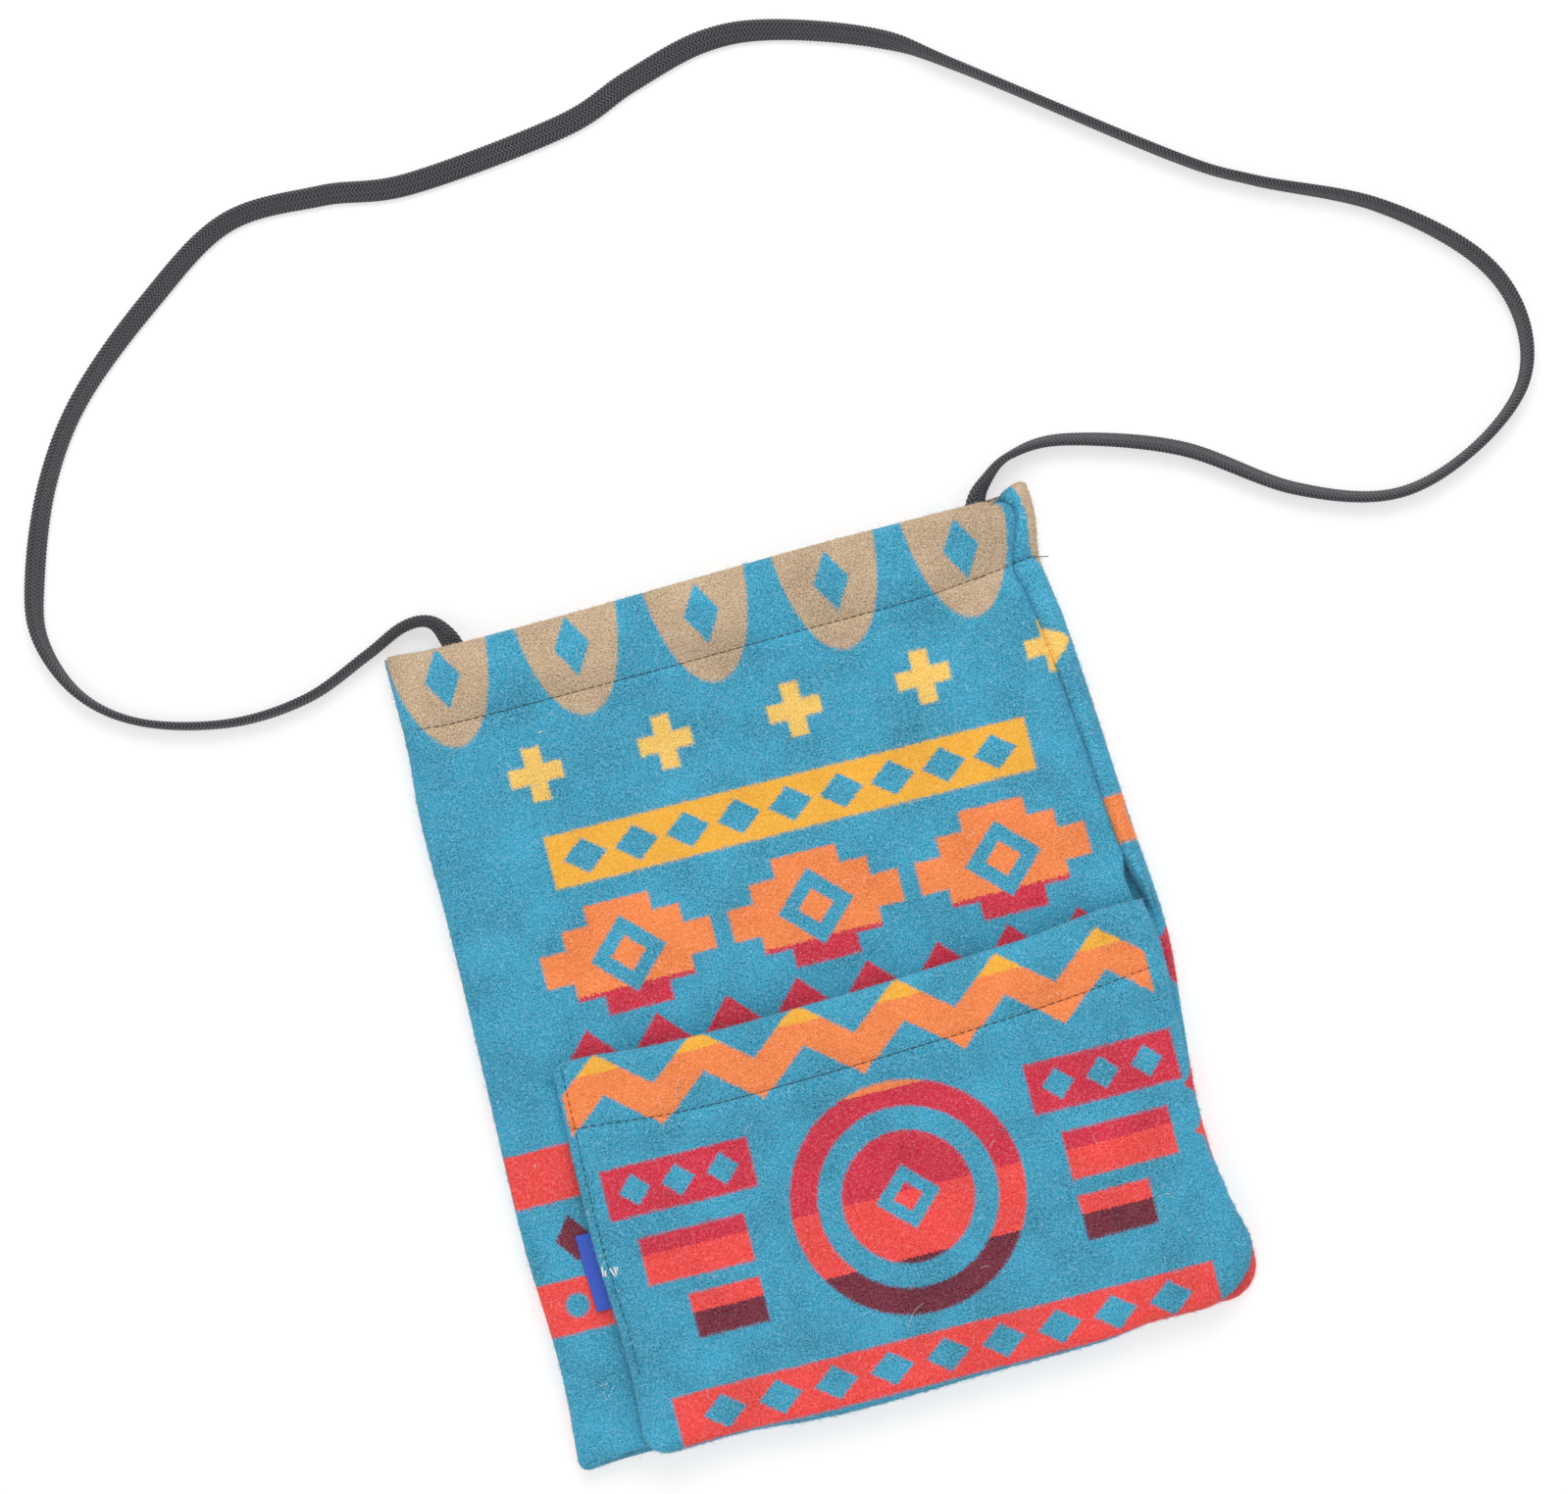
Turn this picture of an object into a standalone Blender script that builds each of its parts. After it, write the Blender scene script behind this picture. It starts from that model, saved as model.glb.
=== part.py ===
"""A small wool tote bag lying face up, with a patch pocket and a long braided strap.

Everything is in metres. +Y runs to the bag's mouth and +Z out of its face. The origin is on the surface that
the bag lies on, under the middle of the bag.
"""

import math

import bmesh
import bpy
from mathutils import Vector

MM = 0.001

# The bag's outline
BAG_WIDTH = 229 * MM
BAG_HEIGHT = 280 * MM
LEFT_CORNER_RADIUS = 5 * MM
BACK_RIGHT_CORNER_RADIUS = 12 * MM
FRONT_RIGHT_CORNER_RADIUS = 23 * MM
RIM_CORNER_RADIUS = 8 * MM
CORNER_CLIP = 0.6 * MM

# How far each edge wanders outwards from the straight, as (distance along the edge, drift) pairs in mm
LEFT_DRIFT = [(-140, 2.7), (-105, 0.5), (-60, 2.2), (0, 1.2), (50, 0.6), (85, 0.9), (108, -0.7), (140, -0.6)]
RIGHT_DRIFT = [
    (-140, 3.0), (-122, 3.7), (-104, -0.4), (-75, -2.3), (-45, -0.1), (-15, 2.2),
    (20, -0.7), (60, -3.3), (95, -6.2), (115, -8.9), (130, -6.9), (140, -7.1),
]
BOTTOM_DRIFT = [
    (-115, 0.2), (-97, -0.9), (-77, -0.8), (-56, -0.7), (-38, 0.8), (-19, 1.3), (20, 0.1), (60, -0.8),
    (79, -3.2), (115, -1.9),
]
TOP_DRIFT = [
    (-114, -0.7), (-98, -2.3), (-60, -2.3), (0, -0.8), (40, 0.1), (85, 0.4), (101, 0.9), (111, 3.4),
    (115, 2.8),
]

# The wool and how it is sewn
WOOL = 2.0 * MM
GAP = 0.3 * MM
FOLD_RADIUS = 1.3 * MM
SEAM_ALLOWANCE = 9.5 * MM
TRIMMED_ALLOWANCE = 2.2 * MM
CORNER_ALLOWANCE = 3.5 * MM
TRIM_START = 8 * MM
TRIM_LENGTH = 6 * MM

# The hem round the mouth
HEM_DEPTH = 28 * MM
HEM_STITCH_LINE = 25.7 * MM
HEM_RADIUS = 1.2 * MM
HEM_SIDE_INSET = 2.7 * MM
HEM_STITCH_RISE = [(-47, 0), (9, -0.4), (70, -0.3), (92, 1.4), (101, 2.2), (108, 1.6), (115, 0.8)]

# The right side seam lies forward on the face: (y, width of back panel that shows beside it) in mm
SEAM_STRIP = [
    (-140, 0), (-68, 0), (-53, 1.3), (-37, 2.9), (-17, 4.2), (3, 6.4), (20, 7.6), (58, 8.5),
    (85, 9.4), (107, 10), (115, 11), (127, 8.5), (134, 7.8), (140, 10.5),
]
STRIP_RISES_FROM = 4.5 * MM
STRIP_RAISED_AT = 7.4 * MM
STRIP_EDGE_RADIUS = 2.2 * MM
STRIP_CLOSES = 9 * MM
STRIP_CLOSED_AT = 3 * MM

# How far the face stands up off the back between its edges
BODY_RISE = 0.8 * MM
BODY_RISE_LENGTH = 50 * MM
MOUTH_RISE = 7.5 * MM
MOUTH_RISE_LENGTH = 95 * MM
FACE_SQUARENESS = 8
STITCH_DIP = 0.5 * MM
STITCH_DIP_REACH = 8 * MM

# The patch pocket on the face
POCKET_INSET = 22.8 * MM
POCKET_LEFT = -BAG_WIDTH / 2 + POCKET_INSET
POCKET_TOP = [(-94, -4.0), (-52, -7.0), (0, -6.2), (46, -4.1), (79, -1.8), (110, 1.6)]
POCKET_CORNER_RADIUS = 8.5 * MM
POCKET_SEAM_RADIUS = 2.5 * MM
POCKET_HEM_DEPTH = 25.5 * MM
POCKET_STITCH_LINE = 23.4 * MM
POCKET_SIDE_STITCH = 2.0 * MM
POCKET_RISE = 4.8 * MM
POCKET_MOUTH_RISE = 1.2 * MM
POCKET_EASE = 0.6 * MM
POCKET_RAMP_START = 15 * MM
POCKET_RAMP = 9 * MM
POCKET_EDGE_REACH = 35 * MM
POCKET_LEFT_FLAT = 8 * MM
POCKET_LEFT_REACH = 22 * MM
POCKET_HEM_REACH = 12 * MM
POCKET_SWELLS_FROM = 4 * MM
POCKET_SWELL = 32 * MM
POCKET_BOTTOM_SWELL = 38 * MM

# The woven label folded under the pocket's left edge
LABEL_SHOWS = 5.2 * MM
LABEL_TUCK = 6.0 * MM
LABEL_TOP = -62.4 * MM
LABEL_LENGTH = 26.4 * MM
LABEL_CLOTH = 0.35 * MM
LABEL_FOLD_RADIUS = 0.25 * MM
LABEL_CLEARANCE = 0.3 * MM

# The threads
THREAD = 0.5 * MM
THREAD_GAP = 0.3 * MM
THREAD_TAIL = 5.0 * MM
THREAD_TAIL_DROP = 1.0 * MM
TACK_LENGTH = 5.0 * MM
TACK_HEIGHT = -75.7 * MM

# The braided strap
STRAP_WIDTH = 7.6 * MM
STRAP_THICKNESS = 2.4 * MM
STRAP_STEP = 16 * MM
STRAP_END = 56 * MM
STRAP_END_STEP = 7 * MM
STRAP_TACK_INSET = 4 * MM

# The strap's centre line from its left end to its right: (x, y, roll in degrees, lift) in mm.
# A roll of 0 lies flat and one of 90 stands on edge.
STRAP_ROUTE = [
    (-89.1, 120, 0, 4.7), (-90.4, 129, 1, 4.7), (-92.3, 139, 34, 4.7), (-97.6, 146.1, 70, 2),
    (-106.7, 146.5, 79, 0.6), (-120.5, 140.4, 82, 0), (-143.3, 131.4, 84, 0), (-170.1, 129.7, 86, 0),
    (-198.4, 137, 88, 0), (-216.4, 151, 93, 0), (-224.6, 172, 112, 0), (-221.5, 192.5, 131, 0),
    (-209.8, 221.7, 122, 0), (-191.9, 247, 121, 0), (-161.9, 272.5, 135, 0), (-130.9, 291.7, 133, 0),
    (-97.8, 292.8, 141, 0), (-68.1, 289.5, 151, 0), (-14.6, 295.7, 165, 0), (11.1, 304.5, 156, 0),
    (37.8, 311.5, 154, 0), (61.7, 309.6, 140, 0), (94.7, 298.2, 127, 0), (118.2, 282.8, 93, 0),
    (179.7, 236.6, 93, 0), (204.5, 221.7, 94, 0), (241.8, 204, 105, 0.2), (269.4, 179.9, 112, 1.3),
    (279.4, 156.4, 107, 1.6), (274.6, 133.5, 101, 1.3), (252.6, 116.1, 98, 0.2), (224.4, 108.7, 106, 0),
    (192.8, 118.7, 117, 0), (159.3, 140.9, 124, 0), (123, 153.1, 114, 0), (103.6, 152.5, 94, 0.6),
    (93, 145.7, 68, 2), (88, 138.5, 30, 4.7), (86.7, 129, 1, 4.7), (85.8, 120, 0, 4.7),
]

# Heights of the middles of the stacked layers at the seams, from the bottom up
LAYER = WOOL + GAP
BACK_HEIGHT = WOOL / 2
BACK_FLAP_HEIGHT = BACK_HEIGHT + 2 * FOLD_RADIUS
POCKET_FLAP_HEIGHT = BACK_FLAP_HEIGHT + LAYER
FRONT_FLAP_HEIGHT = BACK_FLAP_HEIGHT + LAYER
FRONT_HEIGHT = FRONT_FLAP_HEIGHT + 2 * FOLD_RADIUS

# The grid of each panel
FOLD_ANGLES = [-90, -45, 0, 45, 90]
SHOULDER = 4.5 * MM
FIRST_INSIDE = 14 * MM
HEM_RING_STEP = 1.5 * MM
TUCK_STEP = 0.5 * MM

COLOURS = {
    "front_panel": (0.047, 0.335, 0.515),
    "back_panel": (0.799, 0.070, 0.065),
    "pocket": (0.940, 0.246, 0.074),
    "strap": (0.052, 0.055, 0.061),
    "label": (0.032, 0.080, 0.456),
    "thread": (0.060, 0.052, 0.050),
    "white_thread": (0.800, 0.790, 0.760),
}


def smooth(t):
    """0 below 0, 1 above 1 and an even S between."""
    t = min(max(t, 0.0), 1.0)
    return t * t * (3 - 2 * t)


def mix(a, b, t):
    return a + (b - a) * t


def along(pairs, at):
    """The smooth curve through (place, value) pairs in mm, read at a place in metres, as metres."""
    at /= MM
    if at <= pairs[0][0]:
        return pairs[0][1] * MM
    if at >= pairs[-1][0]:
        return pairs[-1][1] * MM
    k = max(i for i, pair in enumerate(pairs[:-1]) if pair[0] <= at)
    slopes = []
    for i in (k, k + 1):
        low, high = max(i - 1, 0), min(i + 1, len(pairs) - 1)
        slopes.append((pairs[high][1] - pairs[low][1]) / (pairs[high][0] - pairs[low][0]))
    span = pairs[k + 1][0] - pairs[k][0]
    t = (at - pairs[k][0]) / span
    start = pairs[k][1] * (2 * t**3 - 3 * t**2 + 1) + slopes[0] * span * (t**3 - 2 * t**2 + t)
    end = pairs[k + 1][1] * (3 * t**2 - 2 * t**3) + slopes[1] * span * (t**3 - t**2)
    return (start + end) * MM


def strip(y):
    """Width of the back panel that shows on the face beside the right seam."""
    return max(along(SEAM_STRIP, y), 0.0)


def strip_raised(y):
    """0 where the strip lies flat and 1 where it stands up as a loop, which closes just below the rim."""
    below_rim = BAG_HEIGHT / 2 - y
    opened = smooth((below_rim - STRIP_CLOSED_AT) / (STRIP_CLOSES - STRIP_CLOSED_AT))
    return opened * smooth((strip(y) - STRIP_RISES_FROM) / (STRIP_RAISED_AT - STRIP_RISES_FROM))


def wander(x, y):
    """A point of the straight-sided bag moved to where the real outline takes it."""
    right = 0.5 + x / BAG_WIDTH
    top = 0.5 + y / BAG_HEIGHT
    dx = along(RIGHT_DRIFT, y) * right - along(LEFT_DRIFT, y) * (1 - right)
    dy = along(TOP_DRIFT, x) * top - along(BOTTOM_DRIFT, x) * (1 - top)
    return x + dx, y + dy


def frame_shift():
    """What brings the middle of the outline to the origin. Its lower left corner is rounded off."""
    steps = [(i / 100 - 0.5) for i in range(101)]
    lefts = [wander(-BAG_WIDTH / 2, t * BAG_HEIGHT)[0] for t in steps]
    rights = [wander(BAG_WIDTH / 2, t * BAG_HEIGHT)[0] for t in steps]
    bottoms = [wander(t * BAG_WIDTH, -BAG_HEIGHT / 2)[1] for t in steps]
    tops = [wander(t * BAG_WIDTH, BAG_HEIGHT / 2)[1] for t in steps]
    middle_x = (min(lefts) + CORNER_CLIP + max(rights)) / 2
    return Vector((-middle_x, -(min(bottoms) + max(tops)) / 2, 0))


SHIFT = frame_shift()


def settled(x, y, z):
    """The final place of a point of the straight-sided bag."""
    x, y = wander(x, y)
    return Vector((x, y, z)) + SHIFT


def pocket_top(x):
    """Height up the bag of the pocket's rim, before the outline wanders."""
    rim = along(POCKET_TOP, x)
    return rim - (wander(x, rim)[1] - rim)


def beside_pocket(x):
    """0 well to the left of the pocket, and 1 from just before its left edge on."""
    return smooth((x - POCKET_LEFT + POCKET_RAMP_START) / POCKET_RAMP)


def below_pocket_top(y):
    """0 well above the pocket's rim at the right seam, and 1 from just above it on."""
    return smooth((pocket_top(BAG_WIDTH / 2) + POCKET_RAMP_START - y) / POCKET_RAMP)


def pocket_caught(side, place):
    """1 where the pocket's edge lies in the seam, and 0 where it doesn't."""
    if side == "left":
        return 0.0
    return below_pocket_top(place) if side == "right" else beside_pocket(place)


def near_edge(x, y, reach):
    """1 at the right and bottom edges, fading to 0 over the reach."""
    distance = min(BAG_WIDTH / 2 - x, y + BAG_HEIGHT / 2)
    return 1 - smooth((distance - FIRST_INSIDE) / reach)


def stitch_dip(distance):
    """How deep a line of stitches pulls the wool in, at a distance from it."""
    return STITCH_DIP * max(1 - abs(distance) / STITCH_DIP_REACH, 0.0)


def front_height(x, y):
    """Height of the middle of the front panel."""
    half = BAG_WIDTH / 2
    right = half - strip(y)
    across = 1 - min(abs(x) / (right if x > 0 else half), 1.0) ** FACE_SQUARENESS
    from_bottom = smooth((y + BAG_HEIGHT / 2) / BODY_RISE_LENGTH)
    at_mouth = smooth((y - BAG_HEIGHT / 2 + MOUTH_RISE_LENGTH) / MOUTH_RISE_LENGTH)
    rise = across * (BODY_RISE * from_bottom * (1 - at_mouth) + MOUTH_RISE * at_mouth)
    rise -= stitch_dip(y - BAG_HEIGHT / 2 + HEM_STITCH_LINE)
    over_pocket_edge = beside_pocket(x) * below_pocket_top(y) * near_edge(x, y, POCKET_EDGE_REACH)
    return FRONT_HEIGHT + rise + LAYER * over_pocket_edge


def pocket_height(x, y):
    """Height of the middle of the pocket."""
    under_edge = LABEL_CLOTH * 2 + LABEL_FOLD_RADIUS * 2 + 2 * LABEL_CLEARANCE
    left_lift = WOOL + under_edge + 2 * HEM_RADIUS - LAYER
    left = 1 - smooth((x - POCKET_LEFT - POCKET_LEFT_FLAT) / POCKET_LEFT_REACH)
    from_left = smooth((x - POCKET_LEFT - POCKET_SWELLS_FROM) / POCKET_SWELL)
    from_right = smooth((BAG_WIDTH / 2 - x - strip(y) - POCKET_SWELLS_FROM) / POCKET_SWELL)
    from_bottom = smooth((y + BAG_HEIGHT / 2 - POCKET_SWELLS_FROM) / POCKET_BOTTOM_SWELL)
    swollen = from_left * from_right * from_bottom
    from_top = smooth((pocket_top(x) - y) / POCKET_HEM_DEPTH)
    below_hem = smooth((pocket_top(x) - y - POCKET_HEM_DEPTH) / POCKET_HEM_REACH)
    hem_lift = (2 * HEM_RADIUS + STITCH_DIP) * (1 - below_hem)
    lift = max(left_lift * left, hem_lift) * (1 - swollen)
    lift += swollen * (POCKET_RISE + hem_lift + POCKET_MOUTH_RISE * (1 - from_top))
    return front_height(x, y) + LAYER + lift - stitch_dip(y - pocket_top(x) + POCKET_STITCH_LINE)


def moved_in(x, last, shift):
    """A column moved in with the right seam: fully at the last column, not at all left of the middle."""
    return x - shift * max(x / last, 0.0)


def rounded(dx, dy, radius):
    """Distances in from two edges, with the corner between them bent to an arc."""
    if dx >= radius or dy >= radius:
        return dx, dy
    p, q = radius - dx, radius - dy
    reach = max(p, q)
    angle = math.pi / 4 * min(p, q) / reach
    far, near = reach * math.cos(angle), reach * math.sin(angle)
    return (radius - far, radius - near) if p >= q else (radius - near, radius - far)


class Panel:
    """A grid of stations: rings along the three seamed edges, an inside, and the rows of a hem.

    Ring 0 is the cut end of the allowance inside the bag, and the last ring lies on the panel's own face.
    """

    def __init__(self, name, left, top, radii, inside_x, inside_y, hem):
        self.name = name
        self.left = left
        self.top = top
        self.radii = radii
        self.inside_x = inside_x
        self.inside_y = inside_y
        self.hem_depth, self.stitch_line = hem
        self.columns = 2 * self.rings + len(inside_x)
        self.hem_rows = self.make_hem_rows()
        self.rows = self.rings + len(inside_y) + len(self.hem_rows)

    def make_hem_rows(self):
        """(distance below the rim, 0 on the face or 1 on the turned-in layer), from the face round."""
        face = [(self.stitch_line, 0), (self.stitch_line / 2, 0), (HEM_RADIUS + SHOULDER, 0)]
        rim = []
        for angle in FOLD_ANGLES[::-1]:
            down = HEM_RADIUS * (1 - math.cos(math.radians(angle))) + WOOL / 2
            rim.append((down, 0.5 - math.sin(math.radians(angle)) / 2))
        layer = [(self.hem_depth / 2, 1), (self.hem_depth, 1)]
        return face + rim + layer

    def allowance(self, side, place):
        """How far the seam allowance reaches in, trimmed inside the hem."""
        if side == "bottom":
            return SEAM_ALLOWANCE
        in_hem = smooth((place - self.top(0) + self.hem_depth + TRIM_START) / TRIM_LENGTH)
        return mix(SEAM_ALLOWANCE, TRIMMED_ALLOWANCE, in_hem)

    def point(self, i, j):
        """The place of a grid vertex."""
        rings = self.rings
        low_y = -BAG_HEIGHT / 2
        right_side = i >= self.columns / 2
        side = "right" if right_side else "left"
        ring_i = self.columns - 1 - i if right_side else i
        inside = ring_i >= rings
        hem_row = j - rings - len(self.inside_y)
        layer = 0
        if j < rings and not inside:
            return self.corner_point(side, ring_i, j)
        if hem_row >= 0:
            down, layer = self.hem_rows[hem_row]
            near_x = self.inside_x[i - rings] if inside else self.side_x(side, SHOULDER)
            y = self.top(near_x) - down
        elif j >= rings:
            y = self.inside_y[j - rings]
        else:
            x = self.inside_x[i - rings]
            depth, turn = self.ring(j, "bottom", x, self.allowance("bottom", x))
            return self.finish(side, self.side_in(side, x), depth, turn, 0.0, 0)
        if inside:
            x = moved_in(self.inside_x[i - rings], self.inside_x[-1], self.seam_shift(y))
            in_x = self.side_in(side, x)
            if layer > 0 and ring_i == rings:
                in_x = max(in_x, self.hem_side_end(side, y) + SHOULDER)
            return self.finish(side, in_x, y - low_y, self.face_turn, 1.0, layer)
        in_x, turn = self.ring(ring_i, side, y, self.allowance(side, y))
        turned_in = ring_i - self.first_hem_ring(side)
        if turned_in < 0:
            layer = 0
        if layer > 0:
            in_x = max(in_x, self.hem_side_end(side, y) + turned_in * HEM_RING_STEP * layer)
        if hem_row >= 0:
            in_x, y = self.rim_corner(side, in_x, y)
        return self.finish(side, in_x, y - low_y, turn, 1.0, layer)

    def corner_point(self, side, ring_i, ring_j):
        """A vertex near a lower corner, where the side's rings turn into the bottom's."""
        low_y = -BAG_HEIGHT / 2
        k, m = min(ring_i, ring_j), max(ring_i, ring_j)
        blend = (m - k) / (self.rings - k)
        flank = side if ring_i < ring_j else "bottom"
        start, turn = self.ring(k, side, low_y, CORNER_ALLOWANCE)
        place = self.side_x(side, FIRST_INSIDE) if flank == "bottom" else low_y + FIRST_INSIDE
        full, _ = self.ring(k, flank, place, SEAM_ALLOWANCE)
        depth = mix(start, full, blend)
        far = mix(start, FIRST_INSIDE, blend)
        if ring_i < ring_j:
            return self.finish(side, depth, far, turn, 0.5 + blend / 2, 0)
        return self.finish(side, far, depth, turn, 0.5 - blend / 2, 0)

    def rim_corner(self, side, in_x, y):
        """Where a point near an end of the rim goes. The ends are square unless a panel rounds them."""
        return in_x, y

    def first_hem_ring(self, side):
        return self.left_hem_ring if side == "left" else self.right_hem_ring

    def side_x(self, side, depth):
        return self.left + depth if side == "left" else BAG_WIDTH / 2 - depth

    def side_in(self, side, x):
        return x - self.left if side == "left" else BAG_WIDTH / 2 - x

    def hem_side_end(self, side, y):
        """How far in from the side the turned-in layer of the hem begins."""
        return self.edge(side, y) + FOLD_RADIUS + HEM_SIDE_INSET

    def finish(self, side, in_x, in_y, turn, side_weight, layer):
        radius = self.radii[0] if side == "left" else self.radii[1]
        in_x, in_y = rounded(in_x, in_y, radius)
        x = self.side_x(side, in_x)
        y = in_y - BAG_HEIGHT / 2
        z = self.height(x, y, turn, side, side_weight)
        z += self.hem_side * layer * 2 * HEM_RADIUS
        return settled(x, y, z)

    def keep(self, i, j):
        """Whether the cell from column i and row j is cloth: hems and allowances are cut away at corners."""
        on_left = i < self.columns / 2
        ring = i if on_left else self.columns - 2 - i
        hem_row = j - self.rings - len(self.inside_y)
        if hem_row >= 5:
            return ring >= self.first_hem_ring("left" if on_left else "right")
        if hem_row >= 2:
            return ring >= self.rim_from_ring
        if self.clipped_left_corner and on_left and ring < self.rings and j < self.rings:
            return min(ring, j) >= 3
        return True

    def build(self, colour):
        bm = bmesh.new()
        bmesh.ops.create_grid(bm, x_segments=self.columns - 1, y_segments=self.rows - 1, size=0.5)
        spots = {}
        for vert in bm.verts:
            i = round((vert.co.x + 0.5) * (self.columns - 1))
            j = round((vert.co.y + 0.5) * (self.rows - 1))
            spots[vert] = (i, j)
        for vert, (i, j) in spots.items():
            vert.co = self.point(i, j)
        cut = []
        for face in bm.faces:
            i = min(spots[vert][0] for vert in face.verts)
            j = min(spots[vert][1] for vert in face.verts)
            if not self.keep(i, j):
                cut.append(face)
        bmesh.ops.delete(bm, geom=cut, context="FACES")
        obj = add_mesh(self.name, bm, colour)
        shell = obj.modifiers.new("Wool", "SOLIDIFY")
        shell.thickness = WOOL
        shell.offset = 0
        return obj


class FrontPanel(Panel):
    rings = 7
    face_turn = 1.0
    hem_side = -1
    left_hem_ring = 5
    right_hem_ring = 5
    rim_from_ring = 3
    clipped_left_corner = False

    def seam_shift(self, y):
        return strip(y)

    def edge(self, side, place):
        """Distance in from the outline of the middle of the rolled edge."""
        if side == "left":
            return WOOL / 2
        if side == "right":
            return WOOL / 2 + strip(place) + (LAYER + POCKET_EASE) * pocket_caught(side, place)
        return WOOL / 2 + (LAYER + POCKET_EASE) * pocket_caught(side, place)

    def rim_corner(self, side, in_x, y):
        """The rim's right end is worn to an arc, so the back's corner shows behind it."""
        if side == "left":
            return in_x, y
        rim = self.top(0)
        in_x, down = rounded(in_x - strip(rim), rim - y, RIM_CORNER_RADIUS)
        return in_x + strip(rim), rim - down

    def ring(self, k, side, place, allowance):
        """(distance in, how far up the roll: -1 under to 1 on the face)"""
        edge = self.edge(side, place)
        if k == 0:
            return edge + FOLD_RADIUS + allowance, -1.0
        if k == self.rings - 1:
            return edge + SHOULDER, 1.0
        angle = math.radians(FOLD_ANGLES[k - 1])
        return edge + FOLD_RADIUS * (1 - math.cos(angle)), math.sin(angle)

    def height(self, x, y, turn, side, side_weight):
        top = front_height(x, y)
        at_side = pocket_caught(side, y)
        at_bottom = beside_pocket(x)
        under = FRONT_FLAP_HEIGHT + LAYER * mix(at_bottom, at_side, side_weight)
        return mix(under, top, (turn + 1) / 2)


class BackPanel(Panel):
    rings = 10
    face_turn = ("roll", -1.0)
    hem_side = 1
    left_hem_ring = 8
    right_hem_ring = 10
    rim_from_ring = 0
    clipped_left_corner = False

    def seam_shift(self, y):
        return strip_raised(y) * strip(y)

    def hem_side_end(self, side, y):
        if side == "left":
            return super().hem_side_end(side, y)
        return strip(y) + FOLD_RADIUS + TRIMMED_ALLOWANCE - SHOULDER + WOOL

    def edge(self, side, place):
        return WOOL / 2

    def ring(self, k, side, place, allowance):
        """(distance in, (how far up the roll, how far down the tuck beside the seam))"""
        raised = strip_raised(place) if side == "right" else 0.0
        inner = strip(place) + WOOL / 2 - LAYER if side == "right" else 0.0
        edge = WOOL / 2
        radius = mix(FOLD_RADIUS, STRIP_EDGE_RADIUS, raised)
        if k == 0:
            shift = mix(0.0, max(inner, 0.0), raised)
            return edge + FOLD_RADIUS + allowance + shift, ("tuck", 1.0)
        if k < 4:
            plain = edge + FOLD_RADIUS + (4 - k) * TUCK_STEP
            tucked = inner + (2 - k) * FOLD_RADIUS
            return mix(plain, tucked, raised), ("tuck", (3 - k) / 2)
        if k == self.rings - 1:
            return edge + SHOULDER, ("roll", -1.0)
        angle = math.radians(FOLD_ANGLES[self.rings - 2 - k])
        return edge + radius * (1 - math.cos(angle)), ("roll", math.sin(angle))

    def height(self, x, y, turn, side, side_weight):
        raised = strip_raised(y) if side == "right" else 0.0
        crest = mix(BACK_FLAP_HEIGHT, front_height(BAG_WIDTH / 2, y), raised)
        kind, amount = turn
        if kind == "tuck":
            return mix(crest, BACK_FLAP_HEIGHT, amount)
        return mix(BACK_HEIGHT, crest, (amount + 1) / 2)


class Pocket(Panel):
    rings = 7
    face_turn = 1.0
    hem_side = -1
    left_hem_ring = 5
    right_hem_ring = 5
    rim_from_ring = 3
    clipped_left_corner = True

    def seam_shift(self, y):
        return strip(y)

    def edge(self, side, place):
        if side == "right":
            return WOOL / 2 + strip(place)
        return WOOL / 2

    def ring(self, k, side, place, allowance):
        edge = self.edge(side, place)
        radius = HEM_RADIUS if side == "left" else POCKET_SEAM_RADIUS
        if k == 0:
            return edge + radius + allowance, -1.0
        if k == self.rings - 1:
            return edge + SHOULDER, 1.0
        angle = math.radians(FOLD_ANGLES[k - 1])
        return edge + radius * (1 - math.cos(angle)), math.sin(angle)

    def height(self, x, y, turn, side, side_weight):
        top = pocket_height(x, y)
        under = POCKET_FLAP_HEIGHT
        if side == "left":
            under = mix(under, top - 2 * HEM_RADIUS, side_weight)
        return mix(under, top, (turn + 1) / 2)


def material(name, colour):
    made = bpy.data.materials.new(name)
    made.use_nodes = True
    shader = made.node_tree.nodes["Principled BSDF"]
    shader.inputs["Base Color"].default_value = (*colour, 1.0)
    shader.inputs["Roughness"].default_value = 0.9
    shader.inputs["Metallic"].default_value = 0.0
    return made


def add_mesh(name, bm, colour):
    mesh = bpy.data.meshes.new(name)
    bm.to_mesh(mesh)
    bm.free()
    mesh.shade_smooth()
    obj = bpy.data.objects.new(name, mesh)
    mesh.materials.append(material(name, colour))
    bpy.data.collections["tote_bag"].objects.link(obj)
    return obj


def add_tube(name, points, colour, diameter):
    """A round thread through the points."""
    curve = bpy.data.curves.new(name, "CURVE")
    curve.dimensions = "3D"
    curve.bevel_depth = diameter / 2
    curve.bevel_resolution = 1
    curve.use_fill_caps = True
    spline = curve.splines.new("POLY")
    spline.points.add(len(points) - 1)
    for spot, point in zip(spline.points, points):
        spot.co = (*point, 1.0)
    obj = bpy.data.objects.new(name, curve)
    curve.materials.append(material(name, colour))
    bpy.data.collections["tote_bag"].objects.link(obj)
    return obj


def bag_top(x):
    return BAG_HEIGHT / 2


def spread(low, high, count):
    return [mix(low, high, n / (count - 1)) for n in range(count)]


def pocket_columns():
    return spread(POCKET_LEFT + FIRST_INSIDE, BAG_WIDTH / 2 - FIRST_INSIDE, 9)


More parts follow.
